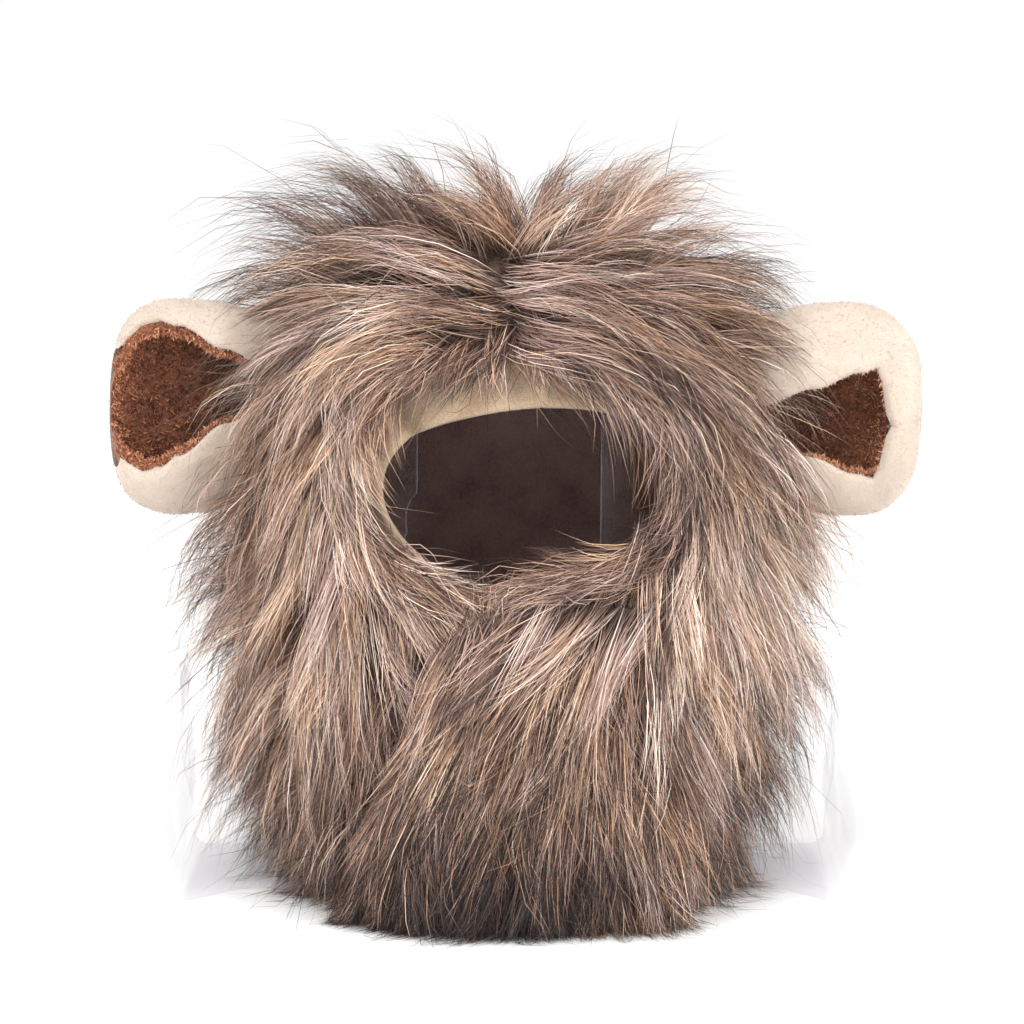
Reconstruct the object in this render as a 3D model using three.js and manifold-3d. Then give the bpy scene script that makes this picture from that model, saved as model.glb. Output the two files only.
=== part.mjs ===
// Pet lion mane wig: a faux fur hood with a face opening, a collar that closes under the chin with a flap,
// and two cupped plush ears. It stands on a rolled sheet of clear plastic, as it does for display.
// Millimetres, +Z up. X runs across the face, -Y is the side of the face opening, and the floor is Z = 0.
import * as THREE from "three";
import { mergeVertices } from "three/addons/utils/BufferGeometryUtils.js";
import Module from "manifold-3d";

const wasm = await Module();
wasm.setup();

// Hood and collar, measured over the matted underfur that the long locks grow from
const CROWN_HEIGHT = 222;
const DOME_RISE = 84;
const HOOD_WIDTH = 158;
const HOOD_DEPTH = 124;
const PILE = 10; // backing cloth with its underfur
const HEM_LIFT = 11; // the side and back hems hang this far above the floor
const HEM_FRONT = 38; // degrees either side of the front where the hem reaches the floor
const HEM_BLEND = 20; // degrees over which it lifts
const ROUNDNESS = 2.3; // exponent of the dome and of the plan

// Face opening
const OPENING_WIDTH = 116;
const OPENING_HEIGHT = 86;
const OPENING_LOW = 110;

// Lining
const LINING = 2;
const LINING_HEM = 3; // the lining stops this far above the fur's hem
const BROW_BAND = 21; // lining that shows below the fur over the brow
const CHEEK_BAND = 15; // lining that shows beside the left cheek
const RIM_BAND = 3; // lining that shows elsewhere

// Chin flap and its closure
const FLAP_TOP = 108;
const FLAP_LEFT_TOP = 12;
const FLAP_LEFT_HEM = 56;
const FLAP_RIGHT_TOP = 48;
const FLAP_RIGHT_HEM = 52;
const FLAP_PILE = 9;
const FLAP_BOW = 5.3; // the left edge bows in by this much
const FLAP_CORNER = 3.2; // drop of the rounded top left corner
const FLAP_SIDES = 25; // the flap stays this far in front of the hood's middle
const CLOSURE = 1.6;
const CLOSURE_WIDTH = 20;
const CLOSURE_HEIGHT = 42;
const CLOSURE_CORNER = 4;
const CLOSURE_LOW = 14;

// Locks
const LOCK_FLATNESS = 0.5; // thickness as a share of width
const LOCK_SINK = 4; // a root starts this deep in the underfur
const LOCK_BEND = 0.25; // share of its stand-off that a lock gains early, so that it bows over
const LOCK_EASE = 0.93; // its heading turns back towards straight down by this factor at each step
const FLAP_LOCKS_IN = 0.9; // share of the flap's width that its locks start within
const SCATTER = { place: 0.16, rise: 0.035, heading: 5, tilt: 3, length: 0.09 }; // how much locks differ

// Ears
const EAR_LENGTH = 72;
const EAR_HEIGHT = 70;
const EAR_DEPTH = 34;
const EAR_LEVEL = 166.5;
const EAR_BACK = 6; // behind the middle of the hood
const EAR_ROOT = 69; // from the middle of the hood to where an ear's axis starts
const PLUSH = 2.4;
const SHERPA = 3.4;
const EAR_SEAM = 1.7; // between the two layers, which are sewn at the rim

// Clear stand
const FILM = 1;
const ROLL_WIDTH = 88;
const ROLL_DEPTH = 84;
const ROLL_LEFT_EDGE = 62; // degrees from the front to the sheet's free edge on the left
const ROLL_RIGHT_EDGE = 43; // and on the right
const NOTCH_LEVEL = 152;
const NOTCH_RADIUS = 5;
const FOOT_FRONT = 22;
const FOOT_BACK = 34;
const FOOT_LEFT = 119;
const FOOT_RIGHT = 117;
const WING_LEFT_HEIGHT = 82;
const WING_RIGHT_HEIGHT = 56;
const WING_FRONT = 40;
const WING_END = 0.72; // height at a wing's ends as a share of its middle
const WING_WAVE = 3.2;
const WING_BENDS = 2; // half waves from front to back

const GAP = 0.3; // between pieces that touch
const FLAP_LIFT = CLOSURE + 2 * GAP; // room under the flap for the closure
const DEGREE = Math.PI / 180;
const FAR = 400; // longer than anything here, for cutters
const BELOW = 9; // cutters reach this far below the floor

// How fine the meshes are
const AROUND = 32;
const SIDE_RISES = [0, 0.5, 1];
const DOME_RISES = [1.3, 1.56, 1.8];
const LOCK_SIDES = 4;
const PATH_STEPS = 6;
const EAR_ALONG = 6;
const EAR_AROUND = 12;
const EAR_SPACE_ALONG = 5;
const EAR_SPACE_AROUND = 20;
const ROLL_AROUND = 24;
const NOTCH_AROUND = 10;
const WING_ALONG = 6;
const WING_UP = 5;
const OUTLINE_CURVE = 14;
const PATCH_CURVE = 3;

// Hood sections from the floor to the shoulder, as shares of its height, width and depth
const SIDES = [
  { up: 0.0, wide: 0.83, deep: 0.87, shift: 0.01 },
  { up: 0.3, wide: 0.9, deep: 0.91, shift: 0.01 },
  { up: 0.62, wide: 0.98, deep: 0.97, shift: 0.015 },
  { up: 1.0, wide: 1.0, deep: 1.0, shift: 0.03 },
];

// Rows of locks on each half. A rise of 0 to 1 runs from hem to shoulder, and 1 to 2 over the dome. The
// locks stand between two angles from the front; comb is how far their heading turns off the seam, and tilt
// how far they stand off the hood, in degrees; length and width are in mm.
const TIERS = [
  { rise: 0.34, from: 50, to: 178, count: 4, comb: 4, tilt: 30, length: 52, width: 46 },
  { rise: 0.44, from: 26, to: 46, count: 1, comb: 4, tilt: 12, length: 52, width: 32 },
  { rise: 0.62, from: 38, to: 174, count: 5, comb: 8, tilt: 31, length: 62, width: 46 },
  { rise: 0.72, from: 8, to: 46, count: 2, comb: 22, tilt: 14, length: 54, width: 32 },
  { rise: 0.88, from: 44, to: 180, count: 5, comb: 14, tilt: 34, length: 66, width: 46 },
  { rise: 1.14, from: 50, to: 174, count: 5, comb: 20, tilt: 33, length: 66, width: 42 },
  { rise: 1.36, from: 46, to: 178, count: 4, comb: 34, tilt: 33, length: 60, width: 46 },
  { rise: 1.56, from: 10, to: 168, count: 5, comb: 66, tilt: 32, length: 56, width: 38 },
  { rise: 1.8, from: 20, to: 160, count: 3, comb: 84, tilt: 50, length: 48, width: 42 },
];

// Tufts that stand up from the crown, on the left (side -1) or the right (side 1)
const TUFTS = [
  { side: -1, turn: 66, rise: 1.78, heading: 6, tilt: 74, length: 60, width: 26 },
  { side: -1, turn: 104, rise: 1.68, heading: 0, tilt: 60, length: 50, width: 30 },
  { side: -1, turn: 34, rise: 1.62, heading: 50, tilt: 54, length: 50, width: 28 },
  { side: 1, turn: 58, rise: 1.8, heading: 10, tilt: 78, length: 46, width: 30 },
  { side: 1, turn: 104, rise: 1.7, heading: 0, tilt: 60, length: 52, width: 30 },
  { side: 1, turn: 34, rise: 1.62, heading: 50, tilt: 50, length: 48, width: 28 },
];

// Locks of the chin flap: across as a share of its width from left to right, rise as above, and heading in
// degrees from straight down, positive to the right
const FLAP_LOCKS = [
  { across: 0.24, rise: 0.72, heading: -32, tilt: 10, length: 62, width: 20 },
  { across: 0.52, rise: 0.78, heading: -20, tilt: 16, length: 60, width: 24 },
  { across: 0.82, rise: 0.78, heading: 0, tilt: 15, length: 60, width: 24 },
  { across: 0.2, rise: 0.42, heading: -20, tilt: 18, length: 46, width: 23 },
  { across: 0.46, rise: 0.46, heading: -10, tilt: 22, length: 54, width: 26 },
  { across: 0.76, rise: 0.46, heading: 4, tilt: 21, length: 54, width: 26 },
  { across: 0.3, rise: 0.2, heading: -8, tilt: 32, length: 31, width: 26 },
  { across: 0.62, rise: 0.22, heading: 3, tilt: 32, length: 33, width: 27 },
  { across: 0.88, rise: 0.22, heading: 6, tilt: 28, length: 32, width: 24 },
];

// A lock's section from root to tip, with its fullness as a share of the lock's width
const LOCK_PROFILE = [
  { along: 0.004, full: 0.72 },
  { along: 0.34, full: 0.94 },
  { along: 0.7, full: 0.84 },
];

// Ear sections from root to tip: radius as a share of half the ear's height, and the span in degrees that the
// cup takes either side of its back, so that 180 is a closed tube and 90 is half open to the front
const EAR_SECTIONS = [
  { along: 0.0, radius: 0.7, span: 172 },
  { along: 0.25, radius: 0.86, span: 165 },
  { along: 0.5, radius: 0.98, span: 148 },
  { along: 0.72, radius: 1.0, span: 128 },
  { along: 0.88, radius: 0.86, span: 112 },
  { along: 1.0, radius: 0.5, span: 100 },
];
const EARS = [
  { name: "left", side: -1, roll: -16, yaw: 20, droop: -2 },
  { name: "right", side: 1, roll: 12, yaw: 8, droop: 1 },
];

const lerp = THREE.MathUtils.lerp;
const smooth = THREE.MathUtils.smoothstep;

// The row of a table at a share of its first column, with all its columns blended smoothly between rows.
function between(table, key, at) {
  const next = Math.max(1, table.findIndex((row, i) => i && at <= row[key]));
  const [a, b] = at > table.at(-1)[key] ? table.slice(-2) : [table[next - 1], table[next]];
  const share = smooth(at, a[key], b[key]);
  return Object.fromEntries(Object.keys(a).map((column) => [column, lerp(a[column], b[column], share)]));
}

// Cosine and sine of an angle bent towards a rounded square.
const squared = (value) => Math.sign(value) * Math.abs(value) ** (2 / ROUNDNESS);

const hem = (turn) => HEM_LIFT * smooth(Math.abs(turn), HEM_FRONT, HEM_FRONT + HEM_BLEND);

// A point on the hood's surface: turn in degrees from the front (positive to +X), rise from the hem (0) over
// the shoulder (1) to the crown (2), moved outwards by out, with the hem moved up by lift.
function hoodPoint(turn, rise, out = 0, lift = 0) {
  const shoulder = CROWN_HEIGHT - DOME_RISE;
  const sides = between(SIDES, "up", Math.min(rise, 1));
  const arc = Math.max(rise - 1, 0) * 90 * DEGREE;
  const inwards = squared(Math.max(Math.cos(arc), 0));
  const low = lerp(hem(turn) + lift, shoulder, Math.min(rise, 1));
  return new THREE.Vector3(
    ((sides.wide * HOOD_WIDTH) / 2 + out) * inwards * squared(Math.sin(turn * DEGREE)),
    sides.shift * HOOD_DEPTH -
      ((sides.deep * HOOD_DEPTH) / 2 + out) * inwards * squared(Math.cos(turn * DEGREE)),
    low + (DOME_RISE + out) * squared(Math.sin(arc)),
  );
}

// A closed geometry as a solid, with its vertices merged.
function solid(geometry) {
  const bare = geometry.clone();
  bare.deleteAttribute("normal");
  bare.deleteAttribute("uv");
  const merged = mergeVertices(bare, 1e-4);
  const vertProperties = new Float32Array(merged.attributes.position.array);
  const triVerts = new Uint32Array(merged.index.array);
  return new wasm.Manifold(new wasm.Mesh({ numProp: 3, vertProperties, triVerts }));
}

// Moves each vertex of a geometry to where place() puts it.
function reshape(geometry, place) {
  const position = geometry.getAttribute("position");
  const vertex = new THREE.Vector3();
  for (let i = 0; i < position.count; i++) {
    place(vertex.fromBufferAttribute(position, i));
    position.setXYZ(i, vertex.x, vertex.y, vertex.z);
  }
  return geometry;
}

// Turns a geometry's faces round, for a piece that was mirrored.
function turnFaces(geometry) {
  const index = geometry.index.array;
  for (let i = 0; i < index.length; i += 3) [index[i], index[i + 1]] = [index[i + 1], index[i]];
  return geometry;
}

// The whole space inside the hood's surface moved outwards by out, as one solid. Deep reaches below the hem.
function hoodSpace(out, { deep = 0, lift = 0 } = {}) {
  const rises = [...SIDE_RISES, ...DOME_RISES, 2];
  const profile = [new THREE.Vector2(0, -1)];
  if (deep > 0) profile.push(new THREE.Vector2(1, -1));
  rises.forEach((rise) => profile.push(new THREE.Vector2(rise < 2 ? 1 : 0, rise)));
  return solid(
    reshape(new THREE.LatheGeometry(profile, AROUND), (vertex) => {
      const turn = Math.atan2(vertex.x, vertex.z) / DEGREE;
      const onAxis = Math.hypot(vertex.x, vertex.z) < 0.5;
      const below = vertex.y < 0;
      const point = hoodPoint(turn, Math.max(vertex.y, 0), out, lift);
      if (onAxis) point.set(0, hoodPoint(0, 2).y, below ? lift : point.z);
      if (below && deep > 0) point.z = -deep;
      vertex.copy(point);
    }),
  );
}

// A flat outline in X and Z, as a solid from y = near to y = far.
function through(shape, near, far, curve = OUTLINE_CURVE) {
  const geometry = new THREE.ExtrudeGeometry(shape, {
    depth: far - near,
    bevelEnabled: false,
    curveSegments: curve,
  });
  return solid(geometry.rotateX(90 * DEGREE).translate(0, far, 0));
}

// A box from its low to its high corner.
function block(low, high) {
  const size = high.map((value, i) => value - low[i]);
  const middle = high.map((value, i) => (value + low[i]) / 2);
  return solid(new THREE.BoxGeometry(...size).translate(...middle));
}

// An oval face hole: the opening made smaller by the bands of lining that show round it.
function faceHole(brow, left, rest) {
  const halfWide = OPENING_WIDTH / 2 - (left + rest) / 2;
  const halfHigh = OPENING_HEIGHT / 2 - (brow + rest) / 2;
  const level = OPENING_LOW + OPENING_HEIGHT / 2 - (brow - rest) / 2;
  const oval = new THREE.Shape().absellipse((left - rest) / 2, level, halfWide, halfHigh, 0, 2 * Math.PI);
  return through(oval, -FAR, 0);
}

// The direction away from the hood at a point of its surface.
function outwards(turn, rise) {
  const step = { turn: 0.5, rise: 0.01 };
  const along = hoodPoint(turn + step.turn, rise).sub(hoodPoint(turn - step.turn, rise));
  const up = hoodPoint(turn, rise + step.rise).sub(hoodPoint(turn, rise - step.rise));
  return along.cross(up).normalize();
}

// The centre line of a lock: it walks over the hood from its root and stands off it more and more.
function lockPath({ turn, rise, heading, tilt, length, out = 0 }) {
  const points = [];
  const walk = (length / PATH_STEPS) * Math.cos(tilt * DEGREE);
  const probe = 0.01;
  const leastRound = 0.2; // mm for a degree, so that a step near the crown doesn't spin round it
  for (let i = 0; i <= PATH_STEPS; i++) {
    const share = i / PATH_STEPS;
    const bow = share * (1 + LOCK_BEND * (1 - share));
    const height = out - LOCK_SINK + length * Math.sin(tilt * DEGREE) * bow;
    points.push(hoodPoint(turn, rise).addScaledVector(outwards(turn, rise), height));
    const round = hoodPoint(turn + 1, rise).distanceTo(hoodPoint(turn, rise));
    const up = hoodPoint(turn, rise + probe).distanceTo(hoodPoint(turn, rise)) / probe;
    turn += (walk * Math.sin(heading * DEGREE)) / Math.max(round, leastRound);
    rise = Math.max(rise - (walk * Math.cos(heading * DEGREE)) / up, 0);
    heading *= LOCK_EASE;
  }
  return new THREE.CatmullRomCurve3(points);
}

// A tapered flat lock along a curve, thickest a third of the way and ending in a point.
function lock(place) {
  const curve = lockPath(place);
  const profile = [new THREE.Vector2(0, 0)];
  LOCK_PROFILE.forEach(({ along, full }) => profile.push(new THREE.Vector2(full / 2, along)));
  profile.push(new THREE.Vector2(0, 1));
  const strip = new THREE.LatheGeometry(profile, LOCK_SIDES);
  const foot = curve.getPoint(0);
  const middle = new THREE.Vector3(0, foot.y / 3, Math.min(foot.z, CROWN_HEIGHT - DOME_RISE));
  return solid(
    reshape(strip, (vertex) => {
      const at = curve.getPoint(vertex.y);
      const ahead = curve.getTangent(vertex.y);
      const away = at.clone().sub(middle).normalize();
      const across = new THREE.Vector3().crossVectors(ahead, away).normalize();
      const off = new THREE.Vector3().crossVectors(across, ahead);
      at.addScaledVector(across, vertex.x * place.width);
      at.addScaledVector(off, vertex.z * place.width * LOCK_FLATNESS);
      vertex.copy(at);
    }),
  );
}

// A steady small variation from -1 to 1 for the nth of a row, from two steps in radians.
const ROW_STEP = 12.99;
const PLACE_STEP = 78.23;
const vary = (row, n) => Math.sin(row * ROW_STEP + n * PLACE_STEP);

// All locks of one half: the tiers and the tufts that stand up from it.
function halfLocks(side) {
  const places = [];
  TIERS.forEach((tier, row) => {
    for (let n = 0; n < tier.count; n++) {
      const share = (n + 0.5 + SCATTER.place * vary(row, n + side)) / tier.count;
      const turn = lerp(tier.from, tier.to, share);
      places.push({
        turn: side * turn,
        rise: tier.rise + SCATTER.rise * vary(row + side, n),
        heading: side * (tier.comb * Math.cos(turn * DEGREE) + SCATTER.heading * vary(n, row)),
        tilt: tier.tilt + SCATTER.tilt * vary(n + side, row + 1),
        length: tier.length * (1 + SCATTER.length * vary(row + 3, n)),
        width: tier.width,
      });
    }
  });
  TUFTS.filter((tuft) => tuft.side === side).forEach((tuft) => {
    places.push({ ...tuft, turn: side * tuft.turn, heading: side * tuft.heading });
  });
  return places.map(lock);
}

// The chin flap's outline, seen from the front, made wider all round by grow.
function flapOutline(grow) {
  const low = -FLAP_LEFT_HEM - grow;
  const high = -FLAP_LEFT_TOP - grow;
  const shape = new THREE.Shape();
  shape.moveTo(low, -1);
  shape.quadraticCurveTo((low + high) / 2 + FLAP_BOW, (FLAP_TOP * 3) / 5, high, FLAP_TOP - FLAP_CORNER);
  shape.quadraticCurveTo(high / 2, FLAP_TOP + grow, 0, FLAP_TOP + grow);
  shape.lineTo(FLAP_RIGHT_TOP + grow, FLAP_TOP + grow);
  shape.lineTo(FLAP_RIGHT_HEM + grow, -1);
  return shape;
}

// The chin flap: a wall over the closure with its own locks, cut to the outline.
function chinFlap() {
  const front = through(flapOutline(0), -FAR, -FLAP_SIDES);
  const locks = FLAP_LOCKS.map((row) => {
    const edge = lerp(FLAP_LEFT_HEM, FLAP_LEFT_TOP, row.rise);
    const x = lerp(-edge, FLAP_RIGHT_HEM, row.across) * FLAP_LOCKS_IN;
    const reach = (HOOD_WIDTH / 2) * between(SIDES, "up", row.rise).wide;
    const turn = Math.asin(Math.sign(x) * Math.abs(x / reach) ** (ROUNDNESS / 2)) / DEGREE;
    return lock({ ...row, turn, out: FLAP_LIFT + FLAP_PILE });
  });
  return wasm.Manifold.union([hoodSpace(FLAP_LIFT + FLAP_PILE), ...locks])
    .subtract(hoodSpace(FLAP_LIFT, { deep: BELOW }))
    .intersect(front);
}

// The patch of tape under the flap, with round corners.
function closurePatch() {
  const patch = new THREE.Shape();
  const middle = new THREE.Vector2(-FLAP_LEFT_TOP - CLOSURE_WIDTH / 2, CLOSURE_LOW + CLOSURE_HEIGHT / 2);
  const arm = new THREE.Vector2(CLOSURE_WIDTH / 2 - CLOSURE_CORNER, CLOSURE_HEIGHT / 2 - CLOSURE_CORNER);
  [
    [1, 1],
    [-1, 1],
    [-1, -1],
    [1, -1],
  ].forEach(([x, z], quarter) => {
    const centre = new THREE.Vector2(middle.x + x * arm.x, middle.y + z * arm.y);
    const start = (quarter * Math.PI) / 2;
    patch.absarc(centre.x, centre.y, CLOSURE_CORNER, start, start + Math.PI / 2);
  });
  return hoodSpace(GAP + CLOSURE)
    .subtract(hoodSpace(GAP, { deep: BELOW }))
    .intersect(through(patch, -FAR, 0, PATCH_CURVE));
}

// The cup of an ear: a point from root to tip (along, 0 to 1) and from lower to upper edge (around, -1 to 1).
function earPoint(ear, along, around, out, closed) {
  const section = between(EAR_SECTIONS, "along", along);
  const angle = (around * (closed ? 180 : section.span) + ear.roll) * DEGREE;
  const radius = (section.radius * EAR_HEIGHT) / 2 + out;
  const depth = (section.radius * EAR_DEPTH) / 2 + out;
  const point = new THREE.Vector3(
    along * (EAR_LENGTH + Math.max(out, 0)),
    depth * Math.cos(angle),
    radius * Math.sin(angle),
  );
  point.applyAxisAngle(new THREE.Vector3(0, 0, 1), -ear.yaw * DEGREE);
  point.applyAxisAngle(new THREE.Vector3(0, 1, 0), ear.droop * DEGREE);
  point.add(new THREE.Vector3(EAR_ROOT, EAR_BACK, EAR_LEVEL));
  point.x *= ear.side;
  return point;
}

// One layer of an ear, from inner to outer distance off the cup's middle surface.
function earLayer(ear, inner, outer) {
  const sheet = new THREE.BoxGeometry(1, 1, 1, EAR_ALONG, EAR_AROUND, 1);
  reshape(sheet, (vertex) => {
    vertex.copy(earPoint(ear, vertex.x + 0.5, vertex.y * 2, vertex.z > 0 ? outer : inner, false));
  });
  const made = solid(ear.side > 0 ? turnFaces(sheet) : sheet);
  return made.subtract(hoodSpace(GAP));
}

// The space that an ear takes up, so that the fur round it stays clear.
function earSpace(ear) {
  const profile = [new THREE.Vector2(0, 0)];
  for (let i = 0; i <= EAR_SPACE_ALONG; i++) profile.push(new THREE.Vector2(1, i / EAR_SPACE_ALONG));
  profile.push(new THREE.Vector2(0, 1));
  const clear = PLUSH + 2 * GAP;
  const tube = reshape(new THREE.LatheGeometry(profile, EAR_SPACE_AROUND), (vertex) => {
    const around = Math.atan2(vertex.z, vertex.x) / Math.PI;
    const onAxis = Math.hypot(vertex.x, vertex.z) < 0.5;
    const rim = earPoint(ear, vertex.y, around, clear, true);
    if (onAxis) rim.lerp(earPoint(ear, vertex.y, around + 1, clear, true), 0.5);
    vertex.copy(rim);
  });
  return solid(ear.side > 0 ? turnFaces(tube) : tube);
}

// The rolled sheet inside the hood, from the floor to the crown, with a free edge each side of the face.
function standRoll() {
  const sheet = new THREE.BoxGeometry(1, 1, 1, ROLL_AROUND, 1, 1);
  reshape(sheet, (vertex) => {
    const turn = lerp(ROLL_RIGHT_EDGE, 360 - ROLL_LEFT_EDGE, vertex.x + 0.5) * DEGREE;
    const out = vertex.z > 0 ? 0 : -FILM;
    const x = (ROLL_WIDTH / 2 + out) * Math.sin(turn);
    const y = -(ROLL_DEPTH / 2 + out) * Math.cos(turn);
    vertex.set(x, y, (vertex.y + 0.5) * CROWN_HEIGHT);
  });
  const notch = new THREE.CylinderGeometry(NOTCH_RADIUS, NOTCH_RADIUS, FAR, NOTCH_AROUND);
  notch.rotateX(90 * DEGREE);
  const edge = (ROLL_WIDTH / 2) * Math.sin(ROLL_LEFT_EDGE * DEGREE);
  notch.translate(-edge, -FAR / 2, NOTCH_LEVEL);
  return solid(sheet)
    .subtract(solid(notch))
    .intersect(hoodSpace(-PILE - LINING - 2 * GAP, { deep: BELOW }));
}

// A side of the stand's foot: a strip out under the hem, and a wavy wing standing up at its end.
function standSide(side, reach, wingHeight, grow) {
  const strip = block(
    [0, -FOOT_FRONT - grow, 0],
    [reach, FOOT_BACK + grow, FILM + grow],
  );
  const clear = new THREE.CylinderGeometry(1, 1, FAR, ROLL_AROUND).rotateX(90 * DEGREE);
  clear.scale(ROLL_WIDTH / 2 - FILM, ROLL_DEPTH / 2 - FILM, 1);
  const wing = new THREE.BoxGeometry(1, 1, 1, 1, WING_ALONG, WING_UP);
  reshape(wing, (vertex) => {
    const y = lerp(-WING_FRONT - grow, FOOT_BACK + grow, vertex.y + 0.5);
    const share = THREE.MathUtils.clamp((y + WING_FRONT) / (WING_FRONT + FOOT_BACK), 0, 1);
    const top = wingHeight * lerp(WING_END, 1, Math.sin(share * Math.PI));
    const z = (vertex.z + 0.5) * (top + grow);
    const wave = WING_WAVE * Math.sin((share * WING_BENDS + z / wingHeight) * Math.PI);
    vertex.set(reach - WING_WAVE + wave + vertex.x * (FILM + 2 * grow), y, z);
  });
  const half = solid(wing).add(strip.subtract(solid(clear)));
  return side > 0 ? half : half.mirror([1, 0, 0]);
}

// Both sides of the stand's foot, made thicker all round by grow.
function standFoot(grow) {
  return standSide(-1, FOOT_LEFT, WING_LEFT_HEIGHT, grow).add(
    standSide(1, FOOT_RIGHT, WING_RIGHT_HEIGHT, grow),
  );
}

// One half of the hood: its wall and locks, cut back to the seam and clear of its neighbours.
function maneHalf(side) {
  const reach = FAR * side;
  const low = [Math.min(side * (GAP / 2), reach), -FAR, 0];
  const high = [Math.max(side * (GAP / 2), reach), FAR, FAR];
  const flapRoom = through(flapOutline(GAP), -FAR, GAP - FLAP_SIDES).subtract(
    hoodSpace(GAP / 2, { deep: BELOW }),
  );
  return wasm.Manifold.union([hoodSpace(0), ...halfLocks(side)])
    .subtract(hoodSpace(-PILE, { deep: BELOW }))
    .subtract(faceHole(0, 0, 0))
    .subtract(flapRoom)
    .subtract(wasm.Manifold.union(EARS.map(earSpace)).subtract(hoodSpace(GAP / 2)))
    .subtract(standFoot(GAP))
    .intersect(block(low, high));
}

// The lining inside the hood, which shows as a band round the face.
function lining() {
  const outer = hoodSpace(-PILE - GAP, { lift: LINING_HEM });
  const inner = hoodSpace(-PILE - GAP - LINING, { deep: BELOW });
  return outer.subtract(inner).subtract(faceHole(BROW_BAND, CHEEK_BAND, RIM_BAND));
}

// The largest body of a solid: small chips that a cut leaves are dropped.
function mainBody(made) {
  return made.decompose().reduce((best, body) => (body.volume() > best.volume() ? body : best));
}

const fur = new THREE.MeshStandardMaterial({ color: 0x8c6f58, roughness: 0.85 });
const flapFur = new THREE.MeshStandardMaterial({ color: 0x957b62, roughness: 0.85 });
const fleece = new THREE.MeshStandardMaterial({ color: 0xd8c6a0, roughness: 0.95 });
const plush = new THREE.MeshStandardMaterial({ color: 0xe8d8be, roughness: 0.95 });
const sherpa = new THREE.MeshStandardMaterial({ color: 0x85543f, roughness: 1.0 });
const tape = new THREE.MeshStandardMaterial({ color: 0x3a302b, roughness: 0.9 });
const film = new THREE.MeshStandardMaterial({
  color: 0xe4e2ea,
  roughness: 0.15,
  transparent: true,
  opacity: 0.3,
});

// A named mesh of a solid.
function piece(name, made, material) {
  const { vertProperties, triVerts, numProp } = mainBody(made).getMesh();
  const geometry = new THREE.BufferGeometry();
  const position = new Float32Array((vertProperties.length / numProp) * 3);
  for (let i = 0; i * numProp < vertProperties.length; i++) {
    position.set(vertProperties.subarray(i * numProp, i * numProp + 3), i * 3);
  }
  geometry.setAttribute("position", new THREE.BufferAttribute(position, 3));
  geometry.setIndex(new THREE.BufferAttribute(new Uint32Array(triVerts), 1));
  geometry.computeVertexNormals();
  const mesh = new THREE.Mesh(geometry, material);
  mesh.name = name;
  return mesh;
}

const wig = new THREE.Group();
wig.add(piece("mane_left", maneHalf(-1), fur));
wig.add(piece("mane_right", maneHalf(1), fur));
wig.add(piece("chin_flap", chinFlap(), flapFur));
wig.add(piece("closure_patch", closurePatch(), tape));
wig.add(piece("lining", lining(), fleece));
EARS.forEach((ear) => {
  wig.add(piece(`ear_shell_${ear.name}`, earLayer(ear, 0, PLUSH), plush));
  wig.add(piece(`ear_inner_${ear.name}`, earLayer(ear, -EAR_SEAM - SHERPA, -EAR_SEAM), sherpa));
});

const stand = new THREE.Group();
stand.add(piece("clear_stand", standRoll().add(standFoot(0)), film));

const root = new THREE.Group();
root.add(wig, stand);
const box = new THREE.Box3().setFromObject(root);
root.position.set(-(box.min.x + box.max.x) / 2, -(box.min.y + box.max.y) / 2, -box.min.z);
export default root;
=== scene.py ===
"""Looks of a pet lion mane wig: long faux fur, plush and sherpa ears, fleece facing and a clear stand."""

from __future__ import annotations

import logging
import math
from dataclasses import dataclass, field
from enum import Enum
from typing import Callable, NamedTuple, Sequence

import bmesh
import bpy
import numpy as np
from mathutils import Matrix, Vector, noise

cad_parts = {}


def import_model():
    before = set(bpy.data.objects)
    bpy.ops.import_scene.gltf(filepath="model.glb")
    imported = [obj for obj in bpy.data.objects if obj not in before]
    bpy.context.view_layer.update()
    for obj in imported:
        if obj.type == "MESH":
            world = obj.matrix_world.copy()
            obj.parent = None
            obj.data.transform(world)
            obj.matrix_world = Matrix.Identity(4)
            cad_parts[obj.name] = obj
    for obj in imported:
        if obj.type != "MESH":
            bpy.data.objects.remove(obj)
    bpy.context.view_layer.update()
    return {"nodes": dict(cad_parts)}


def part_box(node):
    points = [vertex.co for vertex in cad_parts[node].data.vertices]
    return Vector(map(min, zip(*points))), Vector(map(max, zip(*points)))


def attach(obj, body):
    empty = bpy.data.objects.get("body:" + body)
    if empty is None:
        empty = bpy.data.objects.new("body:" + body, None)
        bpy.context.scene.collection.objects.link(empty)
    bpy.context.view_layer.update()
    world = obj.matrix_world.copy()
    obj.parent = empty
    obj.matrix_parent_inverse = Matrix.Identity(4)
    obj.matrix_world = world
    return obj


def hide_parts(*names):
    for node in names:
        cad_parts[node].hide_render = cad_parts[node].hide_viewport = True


log = logging.getLogger("mane_wig")

MM = 0.001
SEED = 20261
HEAD_MIDDLE = (0.0, 0.0, 0.12)
CHIN_MIDDLE = (0.0, 0.0, 0.05)
EAR_ROOT = (69 * MM, 6 * MM, 166.5 * MM)
Array = np.ndarray
Material, Socket, Sheet = bpy.types.Material, bpy.types.NodeSocket, bmesh.types.BMesh
Pair, Triple = tuple[float, float], tuple[float, float, float]
Floats = tuple[float, ...]


class Side(Enum):
    """The halves of the wig, as the viewer sees them."""

    LEFT = -1
    RIGHT = 1

    @property
    def word(self) -> str:
        """The side's name in node and piece names."""
        return self.name.lower()


# Helpers for colours, nodes and meshes


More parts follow.
